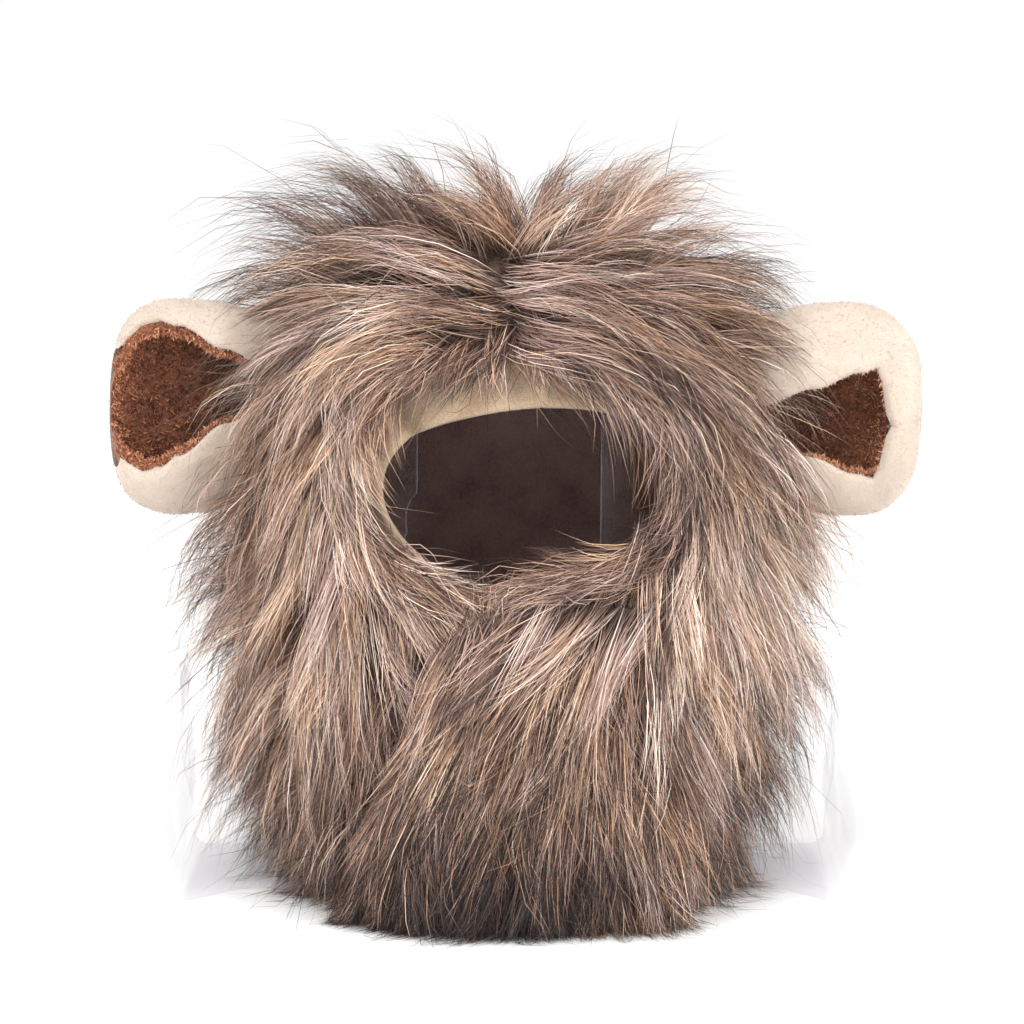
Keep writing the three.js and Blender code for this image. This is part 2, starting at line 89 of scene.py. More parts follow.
def linear(hex_colour: str, alpha: float = 1.0) -> tuple[float, float, float, float]:
    """Turns an sRGB hex colour into Blender's linear colour.

    Args:
        hex_colour: Six hex digits.
        alpha: The fourth value.

    Returns:
        Red, green and blue in linear light, and alpha.
    """
    parts = [int(hex_colour[i : i + 2], 16) / 255 for i in (0, 2, 4)]
    red, green, blue = [c / 12.92 if c <= 0.04045 else ((c + 0.055) / 1.055) ** 2.4 for c in parts]
    return red, green, blue, alpha


def add_node(material: Material, kind: str, links: dict | None = None, **settings) -> bpy.types.Node:
    """Adds a shader node with its settings, input values and incoming links.

    Args:
        material: The material whose tree gets the node.
        kind: The node's type, such as ShaderNodeMix.
        links: Input name or index to an output socket or a plain value.
        settings: Properties of the node itself.

    Returns:
        The new node.
    """
    node = material.node_tree.nodes.new(kind)
    for key, value in settings.items():
        setattr(node, key, value)
    for key, value in (links or {}).items():
        if isinstance(value, Socket):
            material.node_tree.links.new(value, node.inputs[key])
        else:
            node.inputs[key].default_value = value
    return node


class Recipe:
    """A node material in the making: what the finishes share."""

    def __init__(self, name: str) -> None:
        """Makes the material with its Principled shader."""
        self.material = bpy.data.materials.new(name)
        self.material.use_nodes = True
        self.shader = self.material.node_tree.nodes["Principled BSDF"]

    def add(self, kind: str, links: dict, **settings) -> Socket:
        """Adds a node and gives its first output."""
        return add_node(self.material, f"ShaderNode{kind}", links, **settings).outputs[0]

    def attribute(self, key: str) -> Socket:
        """A mesh attribute's value."""
        return add_node(self.material, "ShaderNodeAttribute", attribute_name=key).outputs["Fac"]

    def place(self) -> Socket:
        """The place on the object, in metres."""
        return add_node(self.material, "ShaderNodeTexCoord").outputs["Object"]

    def noise(self, size: float, detail: float, **inputs: float) -> Socket:
        """Noise with lumps of a size in metres."""
        return self.add("TexNoise", {0: self.place(), "Scale": 1 / size, "Detail": detail, **inputs})

    def ramp(self, factor: Socket, stops: Sequence[tuple]) -> Socket:
        """Adds a colour ramp.

        Args:
            factor: The socket that drives it.
            stops: Place and hex colour of each stop.

        Returns:
            The ramp's colour output.
        """
        node = add_node(self.material, "ShaderNodeValToRGB", {0: factor})
        elements = node.color_ramp.elements
        while len(elements) < len(stops):
            elements.new(0.5)
        for element, (place, colour) in zip(elements, stops):
            element.position = place
            element.color = linear(colour)
        return node.outputs[0]

    def mix(self, factor: object, first: object, second: object) -> Socket:
        """Mixes two colours, sockets or plain values, by the share of the second."""
        links = {0: factor, 6: first, 7: second}
        return add_node(self.material, "ShaderNodeMix", links, data_type="RGBA").outputs[2]

    def bump(self, height: Socket, strength: float, distance: float, **settings) -> None:
        """Bumps the shader's normal by a height.

        Args:
            height: The socket that gives it.
            strength: Its strength from 0 to 1.
            distance: Its full depth in metres.
            settings: Properties of the node.
        """
        links = {"Height": height, "Strength": strength, "Distance": distance}
        self.link("Normal", self.add("Bump", links, **settings))

    def link(self, key: str, socket: Socket) -> None:
        """Links a socket into the shader."""
        self.material.node_tree.links.new(socket, self.shader.inputs[key])

    def done(self, **values: object) -> Material:
        """Sets plain inputs of the shader.

        Args:
            values: By the input's name, with underscores for spaces.

        Returns:
            The finished material.
        """
        for key, value in values.items():
            self.shader.inputs[key.replace("_", " ")].default_value = value
        return self.material


def smoothstep(low: float, high: float, value: Array) -> Array:
    """A smooth share from 0 at low to 1 at high."""
    share = np.clip((value - low) / (high - low), 0.0, 1.0)
    return share * share * (3 - 2 * share)


def bell(value: Array, middle: float, width: float) -> Array:
    """A bell-shaped share: 1 at the middle, and small beyond the width."""
    return np.exp(-(((value - middle) / width) ** 2))


def unit(vectors: Array) -> Array:
    """Vectors at length one, along the last axis."""
    return vectors / np.maximum(np.linalg.norm(vectors, axis=-1, keepdims=True), 1e-9)


def blended(places: Sequence[float], values: Sequence[float], at: Array) -> Array:
    """Values between the rows of a table, blended smoothly.

    Args:
        places: The table's rising first column.
        values: Another column.
        at: Where to read it.

    Returns:
        A value for each place.
    """
    at = np.clip(at, places[0], places[-1])
    rows = np.array(places)
    low = np.clip(np.searchsorted(rows, at, side="left") - 1, 0, len(places) - 2)
    share = smoothstep(0.0, 1.0, (at - rows[low]) / (rows[low + 1] - rows[low]))
    column = np.array(values)
    return column[low] * (1 - share) + column[low + 1] * share


def lumps(points: Array, size: float) -> Array:
    """Soft noise from about -1 to 1 over points, with lumps of a size in metres."""
    return np.array([noise.noise(Vector(point) / size) for point in points])


def piece(name: str, mesh: bpy.types.Mesh, material: Material, nodes: Sequence[str]) -> bpy.types.Object:
    """Makes an object of a mesh, dresses it and has it ride on the one body.

    Args:
        name: The object's name.
        mesh: Its mesh, in place.
        material: Its finish.
        nodes: The nodes of the frame that it stands for.

    Returns:
        The object.
    """
    mesh.materials.append(material)
    made = bpy.data.objects.new(name, mesh)
    bpy.context.scene.collection.objects.link(made)
    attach(made, "root")
    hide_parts(*nodes)
    log.info("%s: %d faces", name, len(mesh.polygons))
    return made


def bent_grid(across: int, along: int, place: Callable[[Array, Array], Array], close: bool = False) -> Sheet:
    """Makes a grid and lays it on a surface.

    Args:
        across: Faces in the first direction.
        along: Faces in the second.
        place: Takes both shares from 0 to 1 and gives points.
        close: Whether edges that meet are merged.

    Returns:
        The bmesh, not yet a mesh.
    """
    made = bmesh.new()
    bmesh.ops.create_grid(made, x_segments=across, y_segments=along, size=0.5)
    flat = np.array([vert.co for vert in made.verts]) + 0.5
    points = place(flat[:, 0], flat[:, 1])
    for vert, point in zip(made.verts, points):
        vert.co = point
    if close:
        bmesh.ops.remove_doubles(made, verts=made.verts, dist=0.002 * MM)
    return made


def thicken(made: Sheet, middle: Triple, thickness: float) -> None:
    """Turns an open sheet's faces away from a point and gives it a thickness inwards.

    Args:
        made: The sheet.
        middle: A point on its hollow side.
        thickness: In metres.
    """
    bmesh.ops.recalc_face_normals(made, faces=made.faces)
    hollow = Vector(middle)
    if sum(face.normal.dot(face.calc_center_median() - hollow) for face in made.faces) < 0:
        bmesh.ops.reverse_faces(made, faces=made.faces)
    bmesh.ops.solidify(made, geom=made.faces, thickness=thickness)


def set_up(data: bpy.types.ID, place: Vector, heading: Vector) -> bpy.types.Object:
    """Puts a camera or a lamp in the scene.

    Args:
        data: The camera or the lamp.
        place: Where it stands.
        heading: Which way it looks.

    Returns:
        The object.
    """
    made = bpy.data.objects.new(data.name, data)
    made.location = place
    made.rotation_mode = "QUATERNION"
    made.rotation_quaternion = heading.to_track_quat("-Z", "Y")
    bpy.context.scene.collection.objects.link(made)
    return made


def to_mesh(made: Sheet, name: str) -> bpy.types.Mesh:
    """Turns a bmesh into a smooth mesh with its faces outwards.

    Args:
        made: The bmesh, freed here.
        name: The mesh's name.

    Returns:
        The mesh.
    """
    bmesh.ops.recalc_face_normals(made, faces=made.faces)
    mesh = bpy.data.meshes.new(name)
    made.to_mesh(mesh)
    made.free()
    mesh.polygons.foreach_set("use_smooth", np.ones(len(mesh.polygons), dtype=bool))
    return mesh


def strip_mesh(
    name: str, verts: Array, local: Array, sizes: Array, unfolded: Array, values: dict[str, Array]
) -> bpy.types.Mesh:
    """Joins many copies of one small strip of faces into a mesh, with a cell of the bake map for each.

    Args:
        name: The mesh's name.
        verts: Points, shape (copies, points of a copy, 3).
        local: Point of each face corner within a copy.
        sizes: Corners of each face of a copy.
        unfolded: Place of each of a copy's points in its cell, from 0 to 1.
        values: Attributes by name, shape (copies, points of a copy).

    Returns:
        The mesh.
    """
    count, per = verts.shape[:2]
    corners = (np.arange(count)[:, None] * per + local[None]).ravel()
    totals = np.tile(sizes, count)
    mesh = bpy.data.meshes.new(name)
    mesh.vertices.add(count * per)
    mesh.vertices.foreach_set("co", verts.reshape(-1).astype(np.float32))
    mesh.loops.add(len(corners))
    mesh.loops.foreach_set("vertex_index", corners.astype(np.int32))
    mesh.polygons.add(len(totals))
    mesh.polygons.foreach_set("loop_start", np.concatenate([[0], np.cumsum(totals)[:-1]]).astype(np.int32))
    mesh.polygons.foreach_set("loop_total", totals.astype(np.int32))
    mesh.polygons.foreach_set("use_smooth", np.ones(len(totals), dtype=bool))
    for key, spread in values.items():
        mesh.attributes.new(key, "FLOAT", "POINT").data.foreach_set("value", spread.ravel().astype(np.float32))
    across = int(math.ceil(math.sqrt(count)))
    cell = np.stack([np.arange(count) % across, np.arange(count) // across], axis=-1)
    inside = 0.06 + 0.88 * unfolded
    flat = ((cell[:, None, :] + inside[None]) / across)[:, local]
    mesh.uv_layers.new(name="OFBake").data.foreach_set("uv", flat.ravel().astype(np.float32))
    mesh.update(calc_edges=True)
    return mesh


# The shape that everything lies on


@dataclass(frozen=True)
class HoodForm:
    """The hood's surface over the matted underfur, in metres, with the same sizes as the solids.

    A point is given by its turn in degrees from the front, its rise from hem (0) over shoulder (1) to
    crown (2), and how far it lies out of the surface.
    """

    centre: Pair
    crown: float = 222 * MM
    dome: float = 84 * MM
    width: float = 158 * MM
    depth: float = 124 * MM
    pile: float = 10 * MM
    roundness: float = 2.3
    hem_lift: float = 11 * MM
    hem_front: float = 38.0
    hem_blend: float = 20.0
    ups: Floats = (0.0, 0.3, 0.62, 1.0)
    wides: Floats = (0.83, 0.9, 0.98, 1.0)
    deeps: Floats = (0.87, 0.91, 0.97, 1.0)
    shifts: Floats = (0.01, 0.01, 0.015, 0.03)

    @classmethod
    def from_frame(cls) -> "HoodForm":
        """Centres the form where the frame's closure patch and stand put it."""
        patch_left, roll_back = -32 * MM, 42 * MM
        low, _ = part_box("closure_patch")
        _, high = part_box("clear_stand")
        return cls(centre=(low.x - patch_left, high.y - roll_back))

    @property
    def shoulder(self) -> float:
        """Height where the dome starts."""
        return self.crown - self.dome

    def section(self, rise: Array) -> tuple[Array, Array, Array]:
        """Half-width, half-depth and backward shift at a rise, which is held at the shoulder."""
        wide, deep, shift = [blended(self.ups, column, rise) for column in (self.wides, self.deeps, self.shifts)]
        return wide * self.width / 2, deep * self.depth / 2, shift * self.depth

    def squared(self, value: Array) -> Array:
        """A sine or cosine bent towards a rounded square."""
        return np.sign(value) * np.abs(value) ** (2 / self.roundness)

    def hem(self, turn: Array) -> Array:
        """Height of the hem at a turn."""
        return self.hem_lift * smoothstep(self.hem_front, self.hem_front + self.hem_blend, np.abs(turn))

    def point(self, turn: Array, rise: Array, out: Array | float = 0.0) -> Array:
        """Points of the surface.

        Args:
            turn: Degrees from the front, positive to +X.
            rise: 0 at the hem, 1 at the shoulder, 2 at the crown.
            out: Metres out of the surface.

        Returns:
            The points, one row each.
        """
        turn = np.mod(np.asarray(turn, dtype=float) + 180, 360) - 180
        rise = np.asarray(rise, dtype=float)
        wide, deep, shift = self.section(rise)
        arc = np.clip(rise - 1, 0, 1) * math.pi / 2
        inwards = self.squared(np.maximum(np.cos(arc), 0.0))
        low = self.hem(turn) + (self.shoulder - self.hem(turn)) * np.minimum(rise, 1.0)
        x = self.centre[0] + (wide + out) * inwards * self.squared(np.sin(np.radians(turn)))
        y = self.centre[1] + shift - (deep + out) * inwards * self.squared(np.cos(np.radians(turn)))
        return np.stack([x, y, low + (self.dome + out) * self.squared(np.sin(arc))], axis=-1)

    def distance(self, points: Array) -> Array:
        """How far points lie out of the surface, negative inside, close enough for short distances.

        Args:
            points: One row each.

        Returns:
            The distances in metres.
        """
        wide, deep, shift = self.section(points[..., 2] / self.shoulder)
        high = np.maximum(points[..., 2] - self.shoulder, 0.0)
        x = points[..., 0] - self.centre[0]
        y = points[..., 1] - self.centre[1] - shift
        n = self.roundness
        ratio = (np.abs(x / wide) ** n + np.abs(y / deep) ** n + (high / self.dome) ** n) ** (1 / n)
        ratio = np.maximum(ratio, 1e-4)
        return (1 - 1 / ratio) * np.sqrt(x * x + y * y + high * high)

    def normal(self, points: Array) -> Array:
        """Which way is straight away from the surface.

        Args:
            points: One row each.

        Returns:
            A direction of length one for each point.
        """
        step = 0.5 * MM
        slopes = []
        for axis in range(3):
            shift = np.zeros(3)
            shift[axis] = step
            slopes.append(self.distance(points + shift) - self.distance(points - shift))
        return unit(np.stack(slopes, axis=-1))

    def front(self, x: Array, z: Array, out: Array | float = 0.0) -> Array:
        """Points of the front surface at places of the front view.

        Args:
            x: Places across.
            z: Heights.
            out: Metres out of the surface.

        Returns:
            The points, one row each.
        """
        x, z = np.broadcast_arrays(np.asarray(x, dtype=float), np.asarray(z, dtype=float))
        wide, deep, shift = self.section(z / self.shoulder)
        high = np.clip((z - self.shoulder) / (self.dome + out), 0.0, 1.0) ** self.roundness
        side = np.abs((x - self.centre[0]) / (wide + out)) ** self.roundness
        left = np.clip(1 - high - side, 0.0, 1.0) ** (1 / self.roundness)
        y = self.centre[1] + shift - (deep + out) * left
        return np.stack([x, y, z], axis=-1)

    def ceiling(self, x: Array, y: Array, out: float) -> Array:
        """Heights of the dome above places of the plan.

        Args:
            x: Places across.
            y: Places from front to back.
            out: Metres out of the surface.

        Returns:
            A height for each place.
        """
        wide, deep, shift = [float(size) for size in self.section(np.array(1.0))]
        n = self.roundness
        across = np.abs((x - self.centre[0]) / (wide + out)) ** n
        back = np.abs((y - self.centre[1] - shift) / (deep + out)) ** n
        return self.shoulder + (self.dome + out) * np.clip(1 - across - back, 0.0, 1.0) ** (1 / n)


@dataclass(frozen=True)
class FaceHole:
    """The oval face opening in the fur, and the smaller one in its lining, seen from the front."""

    form: HoodForm
    low: float = 110 * MM
    width: float = 116 * MM
    height: float = 86 * MM
    brow: float = 21 * MM
    cheek: float = 15 * MM
    rim: float = 3 * MM

    def oval(self, inner: bool) -> tuple[float, float, float, float]:
        """An oval of the opening.

        Args:
            inner: Whether it is the lining's.

        Returns:
            Middle across, middle height, half width and half height.
        """
        brow, cheek, rim = (self.brow, self.cheek, self.rim) if inner else (0.0, 0.0, 0.0)
        x = self.form.centre[0] + (cheek - rim) / 2
        z = self.low + self.height / 2 - (brow - rim) / 2
        return x, z, self.width / 2 - (cheek + rim) / 2, self.height / 2 - (brow + rim) / 2

    def share(self, points: Array) -> Array:
        """Tells points in the fur's oval from the rest.

        Args:
            points: One row each.

        Returns:
            Below 1 inside it and in front of the hood's middle, above 1 elsewhere.
        """
        x, z, half_width, half_height = self.oval(False)
        across = (points[..., 0] - x) / half_width
        up = (points[..., 2] - z) / half_height
        return np.where(points[..., 1] < 0, np.hypot(across, up), 9.0)

    def cut(self, made: Sheet, margin: float, out: float) -> None:
        """Cuts the oval out of a sheet on the hood's form and draws the rim to the oval.

        Args:
            made: The sheet.
            margin: Factor on the oval's size.
            out: How far the sheet lies out of the form.
        """
        gone = [f for f in made.faces if self.share(np.array([f.calc_center_median()]))[0] < margin]
        bmesh.ops.delete(made, geom=gone, context="FACES")
        x, z, half_width, half_height = self.oval(False)
        for vert in made.verts:
            if vert.is_boundary and self.share(np.array([vert.co]))[0] < margin * 1.25:
                flat = np.array([(vert.co.x - x) / half_width, (vert.co.z - z) / half_height])
                flat *= margin / max(float(np.hypot(*flat)), 1e-6)
                vert.co = Vector(self.form.front(x + flat[0] * half_width, z + flat[1] * half_height, out))


@dataclass(frozen=True)
class FlapOutline:
    """The chin flap, seen from the front."""

    form: HoodForm
    top: float = 108 * MM
    left_top: float = -12 * MM
    left_hem: float = -56 * MM
    right_top: float = 48 * MM
    right_hem: float = 52 * MM
    bow: float = 3 * MM
    corner: float = 16 * MM
    lift: float = 11.2 * MM
    pile: float = 9 * MM

    def left(self, z: Array) -> Array:
        """The left edge: a slight bow, and a round corner at the top.

        Args:
            z: Heights.

        Returns:
            Its place across at each height.
        """
        share = np.clip(z / self.top, 0, 1)
        lean = self.bow * np.sin(share * math.pi)
        turned = self.corner * smoothstep(0.86, 1.0, share) ** 2
        return self.form.centre[0] + self.left_hem + (self.left_top - self.left_hem) * share + lean + turned

    def right(self, z: Array) -> Array:
        """The right edge at a height."""
        share = np.clip(z / self.top, 0, 1)
        return self.form.centre[0] + self.right_hem + (self.right_top - self.right_hem) * share

    def holds(self, points: Array, margin: float = 0.0) -> Array:
        """Whether points lie under the flap.

        Args:
            points: One row each.
            margin: Metres that the outline is drawn in.

        Returns:
            A truth value for each.
        """
        x, y, z = points[..., 0], points[..., 1], points[..., 2]
        inside = (x > self.left(z) + margin) & (x < self.right(z) - margin)
        return inside & (z < self.top - margin) & (y < -20 * MM)


# Fur

STRAND_VALUES = ("along", "tone", "warm", "guard")


@dataclass(frozen=True)
class FurFinish:
    """Acrylic faux fur, pile drawn from staple fibre and heat set.

    It gives the eye a soft satin sheen along each lock, golden tan and rose grey fibres over a darker
    root, partly the fibre's own colour and partly painted shade deep in the lock, and coarser guard
    hairs whose outer part is nearly black.
    """

    # Root colour: the fibre's own darker brown together with painted shade deep in the lock.
    root: str = "4C3833"
    guard: str = "201A1D"
    warm: tuple[str, ...] = ("3C2922", "7B5743", "B88E6E", "E4BC98", "FBE4CA")
    cool: tuple[str, ...] = ("382928", "70544D", "AF8F85", "DBC0B6", "F8E9E3")
    places: Floats = (0.0, 0.22, 0.46, 0.76, 1.0)
    root_shade_share: float = 0.4
    roughness: float = 0.46

    def make(self) -> Material:
        """Makes the material, which reads the strands' own attributes."""
        recipe = Recipe("faux_fur_acrylic_pile")
        along, tone, warm, guard = [recipe.attribute(key) for key in STRAND_VALUES]
        golden = recipe.ramp(tone, list(zip(self.places, self.warm)))
        rosy = recipe.ramp(tone, list(zip(self.places, self.cool)))
        # Towards the root each strand is painted darker, partly its own colour and partly painted shade.
        depth = recipe.add("MapRange", {0: along, 1: 0.0, 2: self.root_shade_share}, interpolation_type="SMOOTHSTEP")
        rooted = recipe.mix(depth, linear(self.root), recipe.mix(warm, rosy, golden))
        recipe.link("Base Color", recipe.mix(guard, rooted, linear(self.guard)))
        return recipe.done(Roughness=self.roughness, Specular_IOR_Level=0.35)


@dataclass(frozen=True)
class UnderfurFinish:
    """Knitted backing with matted underfur: a dull brown felt that closes the gaps between locks, its dark colour
    partly painted shade of those gaps.
    """

    # The felt's dark brown is partly painted shade of the gaps between locks.
    dark: str = "2E231D"
    light: str = "5A473A"
    clump: float = 2.4 * MM

    def make(self) -> Material:
        """Makes the material, mottled and bumped by clumps of fibre."""
        recipe = Recipe("matted_underfur_and_painted_shade")
        clumps = recipe.noise(self.clump, 4.0)
        recipe.link("Base Color", recipe.ramp(clumps, ((0.3, self.dark), (0.7, self.light))))
        recipe.bump(clumps, 0.7, 1.0 * MM)
        return recipe.done(Roughness=0.95)


@dataclass(frozen=True)
class FleeceFinish:
    """Brushed polyester fabric: fleece facing, inner lining, ear plush or the core of a sherpa.

    It gives the eye a soft matte nap with a pale sheen at grazing angles and broad brushing marks.
    """

    name: str
    dark: str
    light: str
    nap: float
    sheen: float = 0.35
    brushing: float = 14 * MM
    broad_share: float = 0.38

    def make(self) -> Material:
        """Makes the material, with a fine nap, broader brushing marks and a soft sheen."""
        recipe = Recipe(self.name)
        fine = recipe.noise(self.nap, 6.0, Roughness=0.7)
        broad = recipe.noise(self.brushing, 2.0)
        part = recipe.add("Math", {0: fine, 1: 1 - self.broad_share}, operation="MULTIPLY")
        both = recipe.add("Math", {0: broad, 1: self.broad_share, 2: part}, operation="MULTIPLY_ADD")
        recipe.link("Base Color", recipe.ramp(both, ((0.36, self.dark), (0.6, self.light))))
        recipe.bump(fine, 0.55, 0.5 * MM)
        return recipe.done(Roughness=0.92, Sheen_Weight=self.sheen, Sheen_Roughness=0.45)


@dataclass(frozen=True)
class PileFinish:
    """Short cut or curled polyester fibres on an ear: each takes its shade from its own tone."""

    name: str
    shades: tuple[str, ...]
    roughness: float = 0.85

    def make(self) -> Material:
        """Makes the material."""
        recipe = Recipe(self.name)
        places = np.linspace(0.0, 1.0, len(self.shades))
        recipe.link("Base Color", recipe.ramp(recipe.attribute("tone"), list(zip(places, self.shades))))
        return recipe.done(Roughness=self.roughness, Specular_IOR_Level=0.2)


@dataclass(frozen=True)
class FilmFinish:
    """Clear PET film, calendered: nearly invisible face on, with glossy streaks and a faint lavender tint."""

    tint: str = "E3E1EA"
    haze: float = 9 * MM

    def make(self, name: str, alpha: float, gloss: float = 0.5) -> Material:
        """Makes the material.

        Args:
            name: The material's name.
            alpha: How much of the light it stops.
            gloss: Strength of its reflections.

        Returns:
            The material.
        """
        recipe = Recipe(name)
        haze = recipe.noise(self.haze, 3.0)
        recipe.link("Roughness", recipe.add("MapRange", {0: haze, 1: 0.3, 2: 0.7, 3: 0.05, 4: 0.16}))
        recipe.bump(haze, 0.12, 0.6 * MM)
        return recipe.done(Base_Color=linear(self.tint), IOR=1.57, Alpha=alpha, Specular_IOR_Level=gloss)


@dataclass(frozen=True)
class TapeFinish:
    """Woven nylon tape with rows of hooks 1.4 mm apart: dull, dark and finely dotted."""

    ground: str = "2A2421"
    hook: str = "4B423C"
    spacing: float = 1.4 * MM

    def make(self) -> Material:
        """Makes the material."""
        recipe = Recipe("nylon_hook_tape_woven")
        dots = recipe.add("TexVoronoi", {0: recipe.place(), "Scale": 1 / self.spacing, "Randomness": 0.2})
        recipe.link("Base Color", recipe.ramp(dots, ((0.2, self.hook), (0.5, self.ground))))
        recipe.bump(dots, 0.8, 0.5 * MM, invert=True)
        return recipe.done(Roughness=0.8)


class Mark(NamedTuple):
    """A combing mark in the front view.

    Across and up in mm, heading in degrees from straight down (positive to the viewer's right), length of
    the locks in mm, how far their tips stand off in mm, tone from 0 (dark) to 1 (pale), and share of
    black-tipped guard hairs.
    """

    x: float
    z: float
    heading: float
    length: float
    lift: float
    tone: float
    dark: float


FRONT_COMB = (
    # crown and forehead, left of the seam
    Mark(-6, 231, -125, 44, 28, 0.42, 0.3),
    Mark(-26, 226, -122, 60, 54, 0.46, 0.4),
    Mark(-45, 216, -118, 82, 66, 0.44, 0.6),
    Mark(-66, 200, -80, 54, 40, 0.5, 0.35),
    Mark(-14, 208, -84, 52, 20, 0.46, 0.2),
    Mark(-34, 206, -76, 54, 22, 0.66, 0.15),
    Mark(-58, 192, -56, 54, 28, 0.66, 0.2),
    # left cheek and side
    Mark(-74, 168, -34, 56, 36, 0.56, 0.2),
    Mark(-60, 160, 2, 46, 16, 0.6, 0.12),
    Mark(-62, 130, 14, 50, 16, 0.74, 0.08),
    Mark(-78, 140, -24, 58, 46, 0.54, 0.35),
    Mark(-74, 108, -20, 60, 52, 0.54, 0.3),
    Mark(-54, 104, 10, 56, 20, 0.8, 0.06),
    # The low tones at (-34, 100), (-24, 84) and (-42, 66) are painted shadow beside the flap's left edge.
    Mark(-34, 100, 24, 46, 14, 0.34, 0.2),
    Mark(-24, 84, 8, 44, 4, 0.02, 0.6),
    Mark(-62, 78, -10, 56, 38, 0.64, 0.2),
    Mark(-42, 66, 4, 48, 8, 0.06, 0.6),
    Mark(-76, 60, -16, 52, 46, 0.5, 0.4),
    Mark(-58, 40, -6, 42, 26, 0.42, 0.45),
    # crown and forehead, right of the seam
    Mark(6, 231, 150, 40, 28, 0.64, 0.12),
    Mark(22, 228, 140, 54, 50, 0.84, 0.08),
    Mark(44, 218, 122, 60, 54, 0.6, 0.3),
    Mark(66, 200, 92, 50, 36, 0.52, 0.4),
    Mark(12, 208, 82, 50, 18, 0.4, 0.2),
    Mark(34, 206, 74, 56, 22, 0.34, 0.35),
    Mark(56, 192, 64, 56, 26, 0.5, 0.3),
    # above the opening's right corner, right cheek and side
    Mark(40, 192, 54, 50, 16, 0.4, 0.3),
    Mark(58, 172, 30, 52, 16, 0.48, 0.2),
    Mark(74, 166, 38, 56, 36, 0.62, 0.3),
    Mark(62, 140, -2, 54, 14, 0.66, 0.2),
    Mark(62, 112, -18, 56, 22, 0.84, 0.1),
    Mark(80, 140, 22, 56, 46, 0.9, 0.15),
    Mark(76, 108, 16, 58, 46, 0.88, 0.2),
    Mark(66, 84, 4, 56, 32, 0.62, 0.2),
    Mark(78, 66, 12, 50, 40, 0.5, 0.5),
    Mark(62, 44, 4, 44, 24, 0.46, 0.45),
)

FLAP_COMB = (
    Mark(46, 106, -34, 50, 16, 0.6, 0.15),
    Mark(30, 106, -58, 48, 14, 0.5, 0.2),
    Mark(12, 105, -68, 44, 14, 0.46, 0.2),
    Mark(-6, 102, -52, 44, 12, 0.4, 0.25),
    Mark(38, 86, -18, 52, 22, 0.44, 0.25),
    Mark(18, 86, -30, 52, 22, 0.36, 0.3),
    Mark(0, 84, -24, 50, 20, 0.5, 0.25),
    Mark(-12, 74, -28, 50, 20, 0.62, 0.15),
    Mark(36, 62, -4, 54, 24, 0.42, 0.3),
    Mark(14, 60, -14, 54, 26, 0.22, 0.5),
    Mark(-8, 56, -36, 52, 22, 0.14, 0.6),
    Mark(-26, 48, -32, 46, 20, 0.34, 0.4),
    Mark(40, 36, 3, 44, 22, 0.5, 0.25),
    Mark(16, 34, -6, 42, 24, 0.16, 0.7),
    Mark(-12, 32, -20, 40, 22, 0.04, 0.85),
    Mark(-36, 28, -18, 34, 16, 0.22, 0.5),
    Mark(34, 14, 4, 24, 16, 0.46, 0.35),
    Mark(0, 14, -6, 24, 16, 0.04, 0.9),
    Mark(-40, 12, -10, 24, 14, 0.3, 0.5),
)


RIM_COMB = (
    Mark(-4, 197, -12, 18, 8, 0.34, 0.25),
    Mark(-20, 194, -40, 30, 9, 0.46, 0.15),
    Mark(-42, 184, -38, 34, 9, 0.56, 0.12),
    Mark(-55, 168, -4, 34, 8, 0.66, 0.1),
    Mark(-59, 150, 12, 34, 8, 0.6, 0.12),
    Mark(-53, 132, 36, 36, 8, 0.54, 0.15),
    Mark(-38, 119, 54, 36, 8, 0.46, 0.2),
    Mark(-18, 112, 66, 32, 8, 0.46, 0.2),
    Mark(6, 110, -88, 36, 14, 0.4, 0.2),
    Mark(24, 112, -94, 40, 17, 0.54, 0.2),
    Mark(42, 121, -84, 42, 17, 0.52, 0.2),
    Mark(54, 135, -24, 36, 8, 0.42, 0.3),
    Mark(58, 152, 4, 36, 8, 0.3, 0.4),
    Mark(54, 168, 14, 40, 8, 0.3, 0.4),
    Mark(46, 180, 30, 42, 8, 0.36, 0.35),
    Mark(34, 188, 42, 48, 8, 0.4, 0.3),
    Mark(20, 194, 38, 46, 9, 0.42, 0.25),
    Mark(5, 197, 12, 26, 8, 0.36, 0.25),
)


class Lie(NamedTuple):
    """How fur lies at points: direction, length, lift, tone and share of guard hairs."""

    direction: Array
    length: Array
    lift: Array
    tone: Array
    dark: Array


